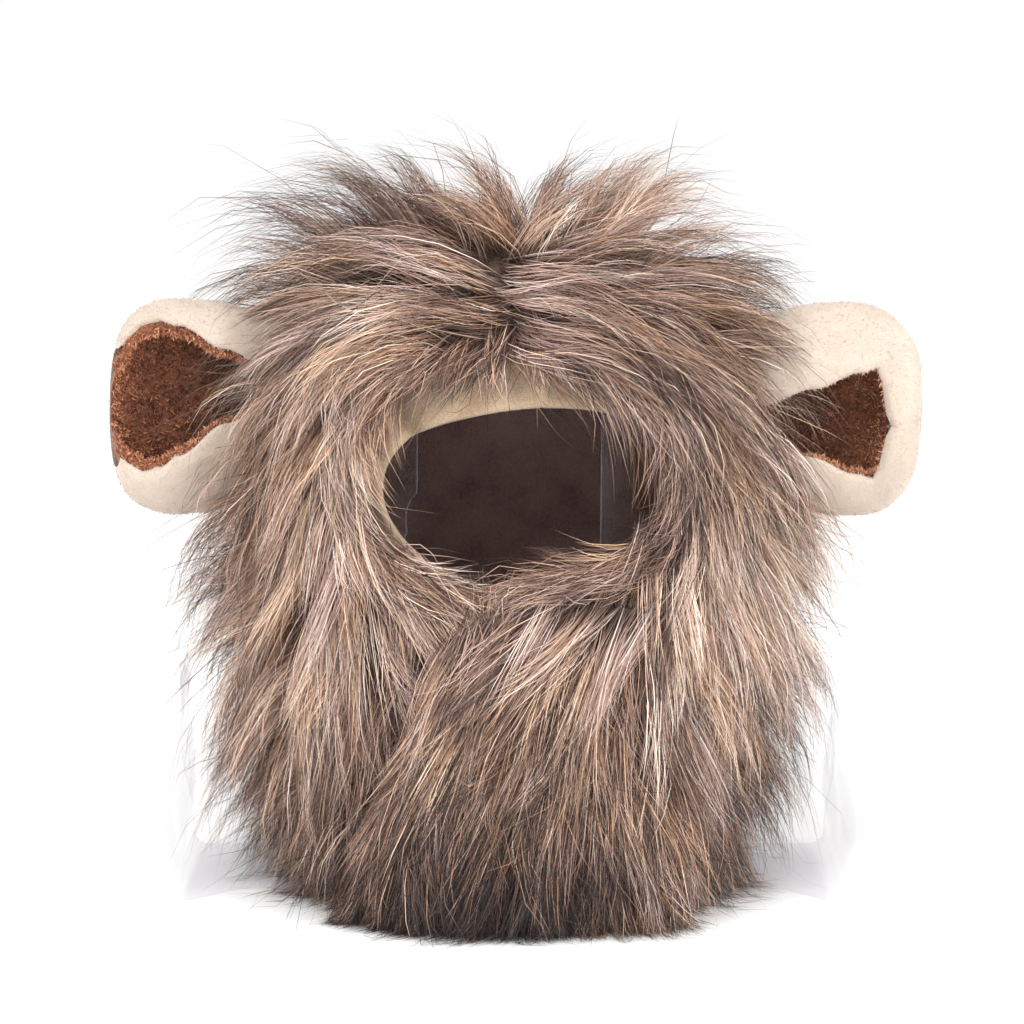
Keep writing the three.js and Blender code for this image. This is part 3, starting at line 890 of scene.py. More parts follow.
@dataclass(frozen=True)
class Comb:
    """The lie of the fur: a plain field, bent by the marks near them."""

    form: HoodForm
    marks: tuple[Mark, ...]
    out: float = 0.0
    reach: float = 14 * MM
    weight: float = 0.05
    length: float = 54 * MM
    lift: float = 30 * MM
    tone: float = 0.52
    dark: float = 0.24

    def plain(self, points: Array) -> Array:
        """The field away from the marks: down, and away from the seam near the crown.

        Args:
            points: One row each.

        Returns:
            A direction of length one for each point.
        """
        high = smoothstep(0.10, 0.21, points[..., 2])
        away = np.tanh(points[..., 0] / (12 * MM))
        back = smoothstep(0.0, 40 * MM, points[..., 1])
        return unit(np.stack([away * high * 1.3, 0.35 * back * high, -(1.15 - 0.75 * high)], axis=-1))

    def read(self, points: Array) -> Lie:
        """The lie at points.

        Args:
            points: One row each.

        Returns:
            The blend of the marks near each point.
        """
        table = np.array(self.marks)
        places = self.form.front(table[:, 0] * MM, table[:, 1] * MM, self.out)
        angle = np.radians(table[:, 2])
        headings = np.stack([np.sin(angle), np.full_like(angle, -0.1), -np.cos(angle)], axis=-1)
        gap = np.linalg.norm(points[:, None, :] - places[None], axis=-1)
        near = np.exp(-0.5 * (gap / self.reach) ** 2)
        total = near.sum(axis=1) + self.weight
        direction = (near @ headings + self.weight * self.plain(points)) / total[:, None]
        plain = (self.length, self.lift, self.tone, self.dark)
        scales = (MM, MM, 1.0, 1.0)
        others = [
            (near @ (table[:, 3 + i] * scale) + self.weight * usual) / total
            for i, (usual, scale) in enumerate(zip(plain, scales))
        ]
        return Lie(unit(direction), *others)


@dataclass(frozen=True)
class StrandSizes:
    """How fine the fur is: sizes in metres, counts for each lock.

    The strands of a lock gather towards its middle line, those of a wisp close up towards each other, and
    stray ones are wilder. Shades spread by lock, by wisp and by strand.
    """

    steps: int = 4
    fibre: float = 0.33 * MM
    guard_fibre: float = 0.25 * MM
    lock_radius: float = 4.0 * MM
    wisps: int = 8
    wisp_radius: float = 1.5 * MM
    flare: float = 3.0 * MM
    stray: float = 0.07
    curl: float = 16.0
    gather: float = 0.52
    closing: float = 0.4
    wildness: float = 4.2
    wave: float = 1.4 * MM
    bow: float = 0.9 * MM
    shade_spread: Triple = (0.12, 0.12, 0.22)
    warm_spread: Pair = (0.25, 0.3)


@dataclass
class Groom:
    """Fur of one panel: locks that follow the comb, each of finer wisps, each of many strands.

    A lock's length is stretched, and its lift scaled by a share between the two of stand. Its middle line
    is walked in steps, turned from the comb by about turn degrees. Tips within soft of the limits are
    drawn in smoothly.
    """

    name: str
    form: HoodForm
    comb: Comb
    allowed: Callable[[Array], Array]
    locks: int
    strands: int
    out: float
    seed: int
    sizes: StrandSizes = field(default_factory=StrandSizes)
    stand: Pair = (0.5, 1.15)
    stretch: float = 1.0
    limits: Triple = (156 * MM, 101 * MM, 271 * MM)
    soft: float = 14 * MM
    floor: float = 0.4 * MM
    tries: int = 120_000
    steps: int = 8
    turn: float = 9.0

    def __post_init__(self) -> None:
        """Starts the panel's own steady random numbers."""
        self.rng = np.random.default_rng(SEED + self.seed)

    def roots(self) -> Array:
        """Spreads lock roots evenly over the allowed part of the surface.

        Returns:
            One point for each lock.
        """
        turn = self.rng.uniform(-180, 180, self.tries)
        rise = self.rng.uniform(0.02, 1.999, self.tries)
        here = self.form.point(turn, rise, self.out)
        side = self.form.point(turn + 1, rise, self.out) - here
        up = self.form.point(turn, np.minimum(rise + 0.01, 2.0), self.out) - here
        area = np.linalg.norm(np.cross(side, up), axis=-1)
        keep = (self.rng.uniform(0, np.quantile(area, 0.999), self.tries) < area) & self.allowed(here)
        pool = here[keep]
        spacing = 1.6 * MM
        cells: dict[tuple[int, int, int], int] = {}
        while True:
            cells.clear()
            for i, cell in enumerate(map(tuple, np.floor(pool / spacing).astype(int))):
                cells.setdefault(cell, i)
            if len(cells) <= self.locks:
                break
            spacing *= 1.06
        chosen = pool[sorted(cells.values())]
        return chosen + self.rng.normal(0, spacing * 0.12, chosen.shape)

    def trace(self, roots: Array, lie: Lie) -> Array:
        """Walks each lock's middle line over the surface.

        Args:
            roots: Where the locks start.
            lie: How the fur lies there.

        Returns:
            Points of each line, shape (locks, steps + 1, 3).
        """
        count = len(roots)
        turned = self.rng.normal(0, self.turn, count)
        curl = self.rng.normal(0, self.sizes.curl, count)
        length = lie.length * self.rng.uniform(0.8, 1.14, count) * self.stretch
        length = np.minimum(length, roots[:, 2] * 1.12 + 12 * MM)
        lift = lie.lift * self.rng.uniform(*self.stand, count)
        line = [roots]
        here = roots
        start = self.form.distance(roots)
        stride = length / self.steps
        for step in range(self.steps):
            share = (step + 1) / self.steps
            normal = self.form.normal(here)
            direction = self.comb.read(here).direction
            flat = unit(direction - (direction * normal).sum(-1, keepdims=True) * normal)
            angle = np.radians(turned + curl * share)[:, None]
            flat = flat * np.cos(angle) + np.cross(normal, flat) * np.sin(angle)
            before = lift * (1 - (1 - step / self.steps) ** 1.5)
            after = lift * (1 - (1 - share) ** 1.5)
            climb = np.clip(after - before, 0, stride * 0.96)
            walk = np.sqrt(stride**2 - climb**2)
            here = here + flat * walk[:, None] + normal * climb[:, None]
            drift = start + after - self.form.distance(here)
            here = here + self.form.normal(here) * np.clip(drift, -2 * MM, 0)[:, None]
            line.append(here)
        return np.stack(line, axis=1)

    def kept_in(self, path: Array) -> Array:
        """Keeps strands within the longest wisps, and splays them on the floor.

        Args:
            path: Points of the strands.

        Returns:
            The points, moved where they had to.
        """
        sunk = np.maximum(self.floor - path[..., 2:], 0)
        out = path - np.array([*self.form.centre, 0])
        out[..., 2] = 0
        moved = path + unit(out) * sunk * 0.4
        moved[..., 2] = np.maximum(path[..., 2], self.floor)
        knee = np.array(self.limits) - self.soft
        over = np.maximum(np.abs(moved) - knee, 0)
        return np.sign(moved) * (np.minimum(np.abs(moved), knee) + self.soft * (1 - np.exp(-over / self.soft)))

    def strands_of(self, lines: Array, roots: Array, lie: Lie) -> dict[str, Array]:
        """Works out every strand of every lock.

        Args:
            lines: The locks' middle lines.
            roots: The locks' roots.
            lie: How the fur lies there.

        Returns:
            Points, widths and the attributes of each strand point.
        """
        rng, sizes = self.rng, self.sizes
        locks, knots = lines.shape[:2]
        count, wisps = locks * self.strands, locks * sizes.wisps
        lock = np.repeat(np.arange(locks), self.strands)
        wisp = lock * sizes.wisps + rng.integers(0, sizes.wisps, count)
        normal = self.form.normal(roots)
        wide = np.repeat(normal, sizes.wisps, 0)
        spread = rng.normal(0, 1, (wisps, 3)) * sizes.lock_radius
        spread -= (spread * wide).sum(-1, keepdims=True) * wide
        fine = rng.normal(0, 1, (count, 3)) * sizes.wisp_radius
        fine -= (fine * normal[lock]).sum(-1, keepdims=True) * normal[lock] * 0.6
        guard = rng.uniform(0, 1, count) < lie.dark[lock] * 1.1
        stray = rng.uniform(0, 1, count) < sizes.stray
        reach = rng.uniform(0.76, 1.12, wisps)[wisp] * rng.uniform(0.68, 1.06, count)
        reach = reach * np.where(guard, 1.14, 1.0) * np.where(stray, 1.1, 1.0)
        share = np.linspace(0, 1, sizes.steps + 1)[None, :]
        at = np.clip(share * reach[:, None], 0, 1.35) * (knots - 1)
        low = np.clip(at.astype(int), 0, knots - 2)
        blend = (at - low)[..., None]
        path = lines[lock[:, None], low] * (1 - blend) + lines[lock[:, None], low + 1] * blend
        gather = (1 - sizes.gather * share**0.8)[..., None]
        closing = (1 - sizes.closing * share**1.2)[..., None]
        flare = rng.normal(0, 1, (wisps, 3)) * sizes.flare
        wild = np.where(stray, sizes.wildness, 1.0)[:, None]
        wave = rng.normal(0, 1, (count, 3)) * sizes.wave * wild
        bow = rng.normal(0, 1, (count, 3)) * sizes.bow * wild
        path = path + spread[wisp][:, None, :] * gather + fine[:, None, :] * closing
        path = path + flare[wisp][:, None, :] * (share**1.6)[..., None]
        path = path + wave[:, None, :] * (share**2)[..., None]
        path = path + bow[:, None, :] * np.sin(share * math.pi)[..., None]
        by_lock, by_wisp, by_strand = sizes.shade_spread
        tone = lie.tone[lock] + rng.normal(0, by_lock, locks)[lock] + rng.normal(0, by_wisp, wisps)[wisp]
        tone = np.clip(tone + rng.normal(0, by_strand, count), 0, 1)
        by_lock, by_strand = sizes.warm_spread
        warm = np.clip(0.5 + rng.normal(0, by_lock, locks)[lock] + rng.normal(0, by_strand, count), 0, 1)
        width = np.where(guard | stray, sizes.guard_fibre, sizes.fibre) * rng.uniform(0.7, 1.25, count)
        dark = np.where(guard[:, None], smoothstep(0.3, 0.66, share), 0.14 * smoothstep(0.8, 1.0, share))
        values = zip(STRAND_VALUES, (share, tone[:, None], warm[:, None], dark))
        spread_out = {key: np.broadcast_to(value, (count, sizes.steps + 1)) for key, value in values}
        return {"path": self.kept_in(path), "width": width, **spread_out}

    def build(self) -> dict[str, Array]:
        """Makes the panel's strands.

        Returns:
            What strands_of gives.
        """
        roots = self.roots()
        lie = self.comb.read(roots)
        lines = self.trace(roots, lie)
        log.info("%s: %d locks", self.name, len(roots))
        return self.strands_of(lines, roots, lie)

    def dress(self, name: str, strands: dict[str, Array], finish: Material, nodes: Sequence[str]) -> None:
        """Makes a piece of strands.

        Args:
            name: The piece's name.
            strands: What build gave, or a part of it.
            finish: The fur's material.
            nodes: The nodes of the frame that it stands for.
        """
        piece(name, ribbon_mesh(name, strands, self.form, self.rng), finish, nodes)


def ribbon_mesh(name: str, strands: dict[str, Array], form: HoodForm, rng: np.random.Generator) -> bpy.types.Mesh:
    """Joins strands into one mesh of tapering ribbons that face away from the head.

    Args:
        name: The mesh's name.
        strands: Points, widths and attributes, as Groom gives them.
        form: The surface that the strands stand on.
        rng: Random numbers for the ribbons' roll.

    Returns:
        The mesh, with the attributes.
    """
    path = strands["path"]
    count, knots = path.shape[:2]
    heading = unit(np.gradient(path, axis=1))
    away = form.normal(path.reshape(-1, 3)).reshape(path.shape)
    roll = rng.normal(0, 0.6, count)[:, None, None]
    side = unit(np.cross(heading, away))
    side = side * np.cos(roll) + np.cross(heading, side) * np.sin(roll)
    share = np.linspace(0, 1, knots)
    taper = 0.75 + 0.7 * share - 1.3 * share**2
    half = side * (strands["width"][:, None, None] * taper[None, :, None] / 2)
    pairs = np.stack([path - half, path + half], axis=2)[:, :-1]
    verts = np.concatenate([pairs.reshape(count, -1, 3), path[:, -1:]], axis=1)
    rungs = knots - 2
    quads = np.array([[2 * k, 2 * k + 1, 2 * k + 3, 2 * k + 2] for k in range(rungs)])
    local = np.concatenate([quads.ravel(), [2 * rungs, 2 * rungs + 1, 2 * rungs + 2]])
    sizes = np.array([4] * rungs + [3])
    order = np.arange(verts.shape[1])
    edge = np.where(order == order[-1], 0.5, order % 2)
    unfolded = np.stack([edge, (order // 2) / (knots - 1)], axis=-1)
    values = {
        key: np.concatenate([np.repeat(strands[key][:, :-1], 2, axis=1), strands[key][:, -1:]], axis=1)
        for key in STRAND_VALUES
    }
    return strip_mesh(name, verts, local, sizes, unfolded, values)


@dataclass
class ManeHalf:
    """One half of the hood: matted underfur on its backing, with long locks in two pieces."""

    side: Side
    form: HoodForm
    hole: FaceHole
    flap: FlapOutline
    seam: float = 0.4 * MM
    ear_height: float = EAR_ROOT[2]
    ear_clear: Pair = (14 * MM, 25 * MM)
    ear_from: float = 50 * MM
    flap_clear: float = 14 * MM
    locks: int = 490
    strands: int = 72
    strays: int = 480
    shares: int = 2

    @property
    def node(self) -> str:
        """The frame's node."""
        return f"mane_{self.side.word}"

    def mine(self, points: Array) -> Array:
        """Whether points are on this half."""
        return (points[:, 0] - self.form.centre[0]) * self.side.value > self.seam

    def allowed(self, points: Array) -> Array:
        """Whether fur grows at points: on this half, round the face, the ear and the flap.

        Args:
            points: One row each.

        Returns:
            A truth value for each.
        """
        clear = self.hole.share(points) > 1.02
        back, up = (points[:, 1] - 4 * MM) / self.ear_clear[0], (points[:, 2] - self.ear_height) / self.ear_clear[1]
        ear = (np.hypot(back, up) > 1) | (np.abs(points[:, 0]) < self.ear_from)
        over = points - np.array([0, 0, self.flap_clear])
        under = self.flap.holds(points, 6 * MM) | self.flap.holds(over, 2 * MM)
        return self.mine(points) & clear & ear & ~under

    def underfur(self, finish: Material) -> None:
        """Makes the wall of backing and underfur that shows between the locks.

        Args:
            finish: The matted felt's material, dark partly as painted shade.
        """
        sign = self.side.value

        def place(across: Array, up: Array) -> Array:
            """Lays the grid over this half, with a slight ripple."""
            turn = sign * (0.3 + across * 179.4)
            ripple = 0.5 * np.sin(turn * 0.9) * np.sin(up * 60) + 0.4 * np.sin(turn * 0.37 + up * 41)
            return self.form.point(turn, up * 1.985 + 0.008, ripple * MM)

        made = bent_grid(72, 60, place)
        self.hole.cut(made, 1.03, 0.0)
        thicken(made, HEAD_MIDDLE, self.form.pile)
        piece(f"underfur_{self.side.word}", to_mesh(made, self.node), finish, [self.node])

    def groom(self, locks: int, strands: int, seed: int, **others) -> Groom:
        """The groom of this half, or of its loose hairs.

        Args:
            locks: How many locks.
            strands: How many strands in each.
            seed: What its random numbers start from.
            others: Further fields of the groom.

        Returns:
            The groom.
        """
        comb = Comb(self.form, FRONT_COMB)
        return Groom(self.node, self.form, comb, self.allowed, locks, strands, -1.0 * MM, seed, **others)

    def fur(self, finish: Material) -> None:
        """Makes the locks, shared between pieces, and the loose hairs that stand out of them.

        Args:
            finish: The fur's material.
        """
        seed = 1 if self.side is Side.LEFT else 2
        groom = self.groom(self.locks, self.strands, seed)
        strands = groom.build()
        for n in range(self.shares):
            part = {key: values[n :: self.shares] for key, values in strands.items()}
            groom.dress(f"locks_{self.side.word}_{n + 1}", part, finish, [self.node])
        wild = StrandSizes(
            fibre=0.3 * MM, guard_fibre=0.28 * MM, lock_radius=2 * MM, wisps=1, flare=7 * MM, stray=0.5, curl=34
        )
        loose = self.groom(self.strays, 2, seed + 10, sizes=wild, stand=(0.9, 1.5), stretch=1.25)
        strands = loose.build()
        strands["guard"] = np.clip(strands["guard"] + 0.75 * smoothstep(0.2, 0.7, strands["along"]), 0, 1)
        loose.dress(f"loose_hairs_{self.side.word}", strands, finish, [self.node])


@dataclass
class Rim:
    """The fur at the edge of the face opening, which lies over the facing's outer part."""

    form: HoodForm
    hole: FaceHole
    locks: int = 190
    strands: int = 50

    def allowed(self, points: Array) -> Array:
        """Whether points are at the edge."""
        share = self.hole.share(points)
        return (share > 0.94) & (share < 1.06)

    def fur(self, finish: Material) -> None:
        """Makes the locks.

        Args:
            finish: The fur's material.
        """
        comb = Comb(self.form, RIM_COMB, reach=9 * MM, length=32 * MM, lift=8 * MM)
        sizes = StrandSizes(lock_radius=2.4 * MM, wisps=6, flare=2.2 * MM, stray=0.12)
        stand = (0.4, 1.2)
        groom = Groom("rim", self.form, comb, self.allowed, self.locks, self.strands, -0.5 * MM, 7, sizes, stand)
        groom.dress("rim_locks", groom.build(), finish, ["mane_left", "mane_right"])


@dataclass
class ChinFlap:
    """The front flap: its own thick wall over the collar, with locks that sweep to the left."""

    form: HoodForm
    outline: FlapOutline
    locks: int = 225
    strands: int = 92

    def allowed(self, points: Array) -> Array:
        """Whether fur grows at points of the flap."""
        return self.outline.holds(points, 0.8 * MM)

    def wall(self, finish: Material) -> None:
        """Makes the flap's wall of backing and underfur.

        Args:
            finish: The matted felt's material, dark partly as painted shade.
        """

        def place(across: Array, up: Array) -> Array:
            """Lays the grid between the flap's edges."""
            z = 0.4 * MM + up * (self.outline.top - 0.8 * MM)
            left, right = self.outline.left(z), self.outline.right(z)
            return self.form.front(left + (right - left) * across, z, self.outline.lift)

        made = bent_grid(40, 36, place)
        thicken(made, CHIN_MIDDLE, self.outline.pile)
        piece("flap_underfur", to_mesh(made, "flap_underfur"), finish, ["chin_flap"])

    def fur(self, finish: Material) -> None:
        """Makes the flap's locks.

        Args:
            finish: The fur's material.
        """
        out = self.outline.lift
        comb = Comb(self.form, FLAP_COMB, out, lift=20 * MM)
        groom = Groom("chin_flap", self.form, comb, self.allowed, self.locks, self.strands, out, 3)
        groom.dress("flap_locks", groom.build(), finish, ["chin_flap"])


# Ears


@dataclass(frozen=True)
class EarForm:
    """The cup of an ear.

    A point is given by its share from root to tip (along), its place from lower edge (-1) over the back (0)
    to upper edge (1) (around), and how far it lies out of the cup's middle surface.
    """

    side: Side
    centre: Pair
    roll: float
    yaw: float
    droop: float
    curl: float
    spans: Floats
    length: float = 72 * MM
    height: float = 70 * MM
    depth: float = 34 * MM
    root: Triple = EAR_ROOT
    alongs: Floats = (0.0, 0.25, 0.5, 0.72, 0.8, 0.88, 1.0)
    radii: Floats = (0.7, 0.86, 0.98, 1.0, 1.0, 1.0, 1.0)
    round_from: float = 0.62

    def point(self, along: Array, around: Array, out: Array) -> Array:
        """Points of the cup.

        Args:
            along: Shares from root to tip.
            around: Places from -1 to 1.
            out: Metres out of the middle surface.

        Returns:
            The points, one row each.
        """
        tip = np.clip((along - self.round_from) / (1 - self.round_from), 0, 1)
        radius = blended(self.alongs, self.radii, along) * np.sqrt(1 - 0.97 * tip**2.6)
        angle = np.radians(around * blended(self.alongs, self.spans, along) + self.roll)
        x = along * (self.length + np.maximum(out, 0))
        y = (radius * self.depth / 2 + out) * np.cos(angle)
        y = y - self.curl * smoothstep(0.62, 1.0, along) ** 2
        z = (radius * self.height / 2 + out) * np.sin(angle)
        yaw, droop = math.radians(self.yaw), math.radians(self.droop)
        x, y = x * math.cos(yaw) + y * math.sin(yaw), -x * math.sin(yaw) + y * math.cos(yaw)
        x, z = x * math.cos(droop) + z * math.sin(droop), -x * math.sin(droop) + z * math.cos(droop)
        x = self.side.value * (x + self.root[0]) + self.centre[0]
        return np.stack([x, y + self.root[1] + self.centre[1], z + self.root[2]], axis=-1)


@dataclass
class EarLayer:
    """One layer of an ear: a thick sheet with round lips, and the short pile that stands on it.

    It reaches from inner to outer about the cup's middle surface, over a share of its span and its length.
    The crease has a place round the cup and a depth. The pile grows on the shown shares round the section:
    blades of a length and a width, bent, and leaning out at their tips.
    """

    name: str
    node: str
    slot: str
    form: EarForm
    inner: float
    outer: float
    span: float
    reach: Pair
    lump: float
    lump_size: float
    grid: tuple[int, int]
    crease: Pair
    shown: Pair
    blades: int
    blade: Pair
    bend: float
    tip: float
    # Tone added to every blade of the pile: painted light that brightens a shaded cup.
    light: float
    seed: int

    def profile(self, loop: Array) -> tuple[Array, Array]:
        """The closed section: outer face, round upper lip, inner face, round lower lip.

        Args:
            loop: Shares round the section.

        Returns:
            Place around the cup, and share of the thickness from -1 inside to 1 outside.
        """
        lip = 0.5 * (self.outer - self.inner) / (self.form.height * 1.1)
        arc = np.linspace(0, math.pi, 5)
        shares = np.concatenate([[0.0], 0.46 + 0.01 * np.arange(5), 0.96 + 0.01 * np.arange(5)])
        around = np.concatenate([[-1.0], 1 + lip * np.sin(arc), -1 - lip * np.sin(arc)]) * self.span
        swing = np.concatenate([[1.0], np.cos(arc), -np.cos(arc)])
        return np.interp(loop, shares, around), np.interp(loop, shares, swing)

    def core(self, loop: Array, run: Array) -> tuple[Array, Array, Array, Array]:
        """Where a point of the skin belongs in the cup.

        Args:
            loop: Shares round the section.
            run: Shares from root to tip.

        Returns:
            Along, around, the layer's middle and the signed distance from it.
        """
        around, swing = self.profile(loop)
        along = self.reach[0] + (self.reach[1] - self.reach[0]) * run
        end = np.clip(np.minimum(run, 1 - run) / 0.06, 0, 1)
        full = np.sqrt(np.clip(1 - (1 - end) ** 2, 0, 1))
        return along, around, (self.outer + self.inner) / 2, swing * (self.outer - self.inner) / 2 * full

    def groove(self, around: Array, run: Array) -> Array:
        """How deep in the crease points are, from 0 to 1: it starts near the root and ends before the tip."""
        shown = smoothstep(0.05, 0.3, run) * (1 - smoothstep(0.66, 0.84, run))
        return bell(around, self.crease[0], 0.055) * shown

    def surface(self, loop: Array, run: Array) -> Array:
        """Points of the layer's skin, with soft lumps.

        Args:
            loop: Shares round the section.
            run: Shares from root to tip.

        Returns:
            The points, one row each.
        """
        along, around, middle, off = self.core(loop, run)
        flat = self.form.point(along, around, middle + off)
        swell = self.lump * lumps(flat, self.lump_size) * np.clip(off / (0.4 * self.lump), -1, 1)
        swell = swell + np.where(off < 0, self.crease[1] * self.groove(around, run), 0.0)
        return self.form.point(along, around, middle + off + swell)

    def skin(self, finish: Material) -> None:
        """Makes the thick sheet.

        Args:
            finish: The cloth's material.
        """
        made = bent_grid(*self.grid, self.surface, close=True)
        done = piece(self.name, to_mesh(made, self.name), finish, [self.node])

    def pile(self, finish: Material) -> None:
        """Makes the short fibres on the side that shows, each a bent blade.

        Args:
            finish: The fibres' material.
        """
        rng = np.random.default_rng(SEED + self.seed)
        loop, run = rng.uniform(*self.shown, self.blades) % 1.0, rng.uniform(0.01, 0.99, self.blades)
        root = self.surface(loop, run)
        along, around, middle, _ = self.core(loop, run)
        core = self.form.point(along, np.clip(around, -self.span, self.span), middle)
        normal = unit(root - core)
        length = rng.uniform(0.6, 1.25, self.blades)[:, None] * self.blade[0]
        rise = unit(normal * (1 + self.tip) + unit(rng.normal(0, 1, root.shape)) * self.bend)
        turn = unit(rise + unit(rng.normal(0, 1, root.shape)) * self.bend)
        side = unit(np.cross(rise, rng.normal(0, 1, root.shape))) * self.blade[1] / 2
        low = root - normal * self.blade[0] * 0.2
        mid = root + rise * length * 0.5
        points = np.stack([low - side, low + side, mid - side, mid + side, mid + turn * length * 0.5], axis=1)
        local = np.array([0, 1, 3, 2, 2, 3, 4])
        unfolded = np.array([[0, 0], [1, 0], [0, 0.5], [1, 0.5], [0.5, 1]])
        clump = 0.5 + 0.5 * lumps(root, self.lump_size)
        # Painted light and shade: the pile is lighter towards the lips and the tip, and darker in the crease.
        painted_lip_light = smoothstep(0.6, 0.98, np.abs(around) / self.span) + smoothstep(0.8, 0.98, run)
        shade = self.light + 0.45 * clump + 0.3 * np.clip(painted_lip_light, 0, 1) - 0.6 * self.groove(around, run)
        tone = np.clip(shade + rng.uniform(-0.15, 0.42, self.blades), 0, 1)
        # Painted shade: each blade's tone is darker at its base and lighter at its tip.
        deep = np.array([0.3, 0.3, 0.85, 0.85, 1.1])
        values = {"tone": np.clip(tone[:, None] * deep[None], 0, 1)}
        name = f"{self.name}_pile"
        mesh = strip_mesh(name, points, local, np.array([4, 3]), unfolded, values)
        piece(name, mesh, finish, [self.node])


@dataclass
class Ear:
    """A cupped ear: cream plush outside, brown sherpa inside, sewn together at the rim."""

    form: EarForm
    span: float
    shell_reach: Pair
    lining_reach: Pair
    crease: float
    # Painted light on the sherpa's pile, for a cup that lies deep in shade.
    light: float

    def build(self, finishes: dict[str, Material]) -> None:
        """Makes both layers.

        Args:
            finishes: The four finishes by name.
        """
        word = self.form.side.word
        seed = 40 + self.form.side.value * 5
        shell = EarLayer(
            name=f"ear_plush_{word}",
            node=f"ear_shell_{word}",
            slot="plush",
            form=self.form,
            inner=0.0,
            outer=2.4 * MM,
            span=1.0,
            reach=self.shell_reach,
            lump=0.5 * MM,
            lump_size=11 * MM,
            grid=(96, 34),
            crease=(0.0, 0.0),
            shown=(-0.04, 0.5),
            blades=6000,
            blade=(0.9 * MM, 0.2 * MM),
            bend=0.9,
            tip=0.3,
            light=0.0,
            seed=seed,
        )
        lining = EarLayer(
            name=f"ear_sherpa_{word}",
            node=f"ear_inner_{word}",
            slot="sherpa",
            form=self.form,
            inner=-4.6 * MM,
            outer=-0.3 * MM,
            span=self.span,
            reach=self.lining_reach,
            lump=1.0 * MM,
            lump_size=3.4 * MM,
            grid=(160, 52),
            crease=(self.crease, 3.0 * MM),
            shown=(0.42, 1.04),
            blades=18500,
            blade=(2.2 * MM, 0.5 * MM),
            bend=1.2,
            tip=0.4,
            light=self.light,
            seed=seed + 1,
        )
        shell.skin(finishes["plush"])
        shell.pile(finishes["plush_pile"])
        lining.skin(finishes["sherpa"])
        lining.pile(finishes["sherpa_pile"])


# Lining


@dataclass
class Lining:
    """The cream facing round the face and the fleece inside the hood, coloured dark brown as painted shade.

    The facing's section is a closed loop: how far inwards, as a share from the fur's oval to the lining's,
    and how deep below the hood's form in mm. The flat sizes are those of the cut sheets.
    """

    form: HoodForm
    hole: FaceHole
    lift: float = 3 * MM
    inwards: Floats = (-0.02, 0.03, 0.16, 0.5, 0.86, 0.96, 0.985, 0.9, 0.5, 0.1, -0.06, -0.05, -0.02)
    depths: Floats = (-1.5, -6.5, -9.8, -9.8, -9.2, -9.9, -11.2, -12.6, -12.9, -12.9, -9.0, -3.0, -1.5)
    facing_flat: Pair = (25 * MM, 310 * MM)
    inside_flat: Pair = (210 * MM, 330 * MM)

    def facing(self, finish: Material) -> None:
        """Makes the facing: it covers the fur's cut edge, shows as a band and rolls back inside.

        Args:
            finish: The cream fleece.
        """
        shares = np.linspace(0, 1, len(self.inwards))

        def place(across: Array, up: Array) -> Array:
            """Lays the grid round the opening, with its seam, gathers and folds."""
            turn = across * 360
            angle = np.radians(turn)
            share = np.interp(up, shares, self.inwards)
            outer, inner = self.hole.oval(False), self.hole.oval(True)
            x, z, half_width, half_height = [a * (1 - share) + b * share for a, b in zip(outer, inner)]
            high, low = np.clip(np.sin(angle), 0, 1), np.clip(-np.sin(angle), 0, 1)
            gathers = np.sin(angle * 150) * bell(turn, 97, 9)
            waves = gathers * 0.5 - bell(turn, 142, 5) * 3.0 - bell(turn, 86, 1.6) * 0.9 - low * 2.0
            out = (np.interp(up, shares, self.depths) + share * waves) * MM
            sag = np.sin(angle * 3 + 0.6) * 2.2 * high + low * 2 - bell(turn, 122, 30) * 5
            half_height = half_height + share * sag * MM
            points = self.form.front(x + half_width * np.cos(angle), z + half_height * np.sin(angle), out)
            points[:, 1] += 0.5 * MM * lumps(points, 16 * MM)
            return points

        made = bent_grid(240, 36, place, close=True)
        band = piece("fleece_facing", to_mesh(made, "fleece_facing"), finish, ["lining"])

    def inside(self, finish: Material) -> None:
        """Makes the fleece that lines the hood from hem to crown.

        Args:
            finish: The fleece, coloured dark brown as painted shade.
        """
        out = -self.form.pile - 1.4 * MM
        low = self.lift / self.form.shoulder

        def place(across: Array, up: Array) -> Array:
            """Lays the grid inside the whole hood, in soft folds."""
            turn = across * 360 - 180
            folds = 0.9 * MM * np.sin(np.radians(turn) * 9 + np.sin(up * 7)) * np.sin(up * math.pi)
            return self.form.point(turn, low + up * (2 - low), out + folds)

        made = bent_grid(96, 48, place, close=True)
        self.hole.cut(made, 1.0, out)
        thicken(made, HEAD_MIDDLE, 1.0 * MM)
        shell = piece("fleece_inside", to_mesh(made, "fleece_inside"), finish, ["lining"])


# Stand


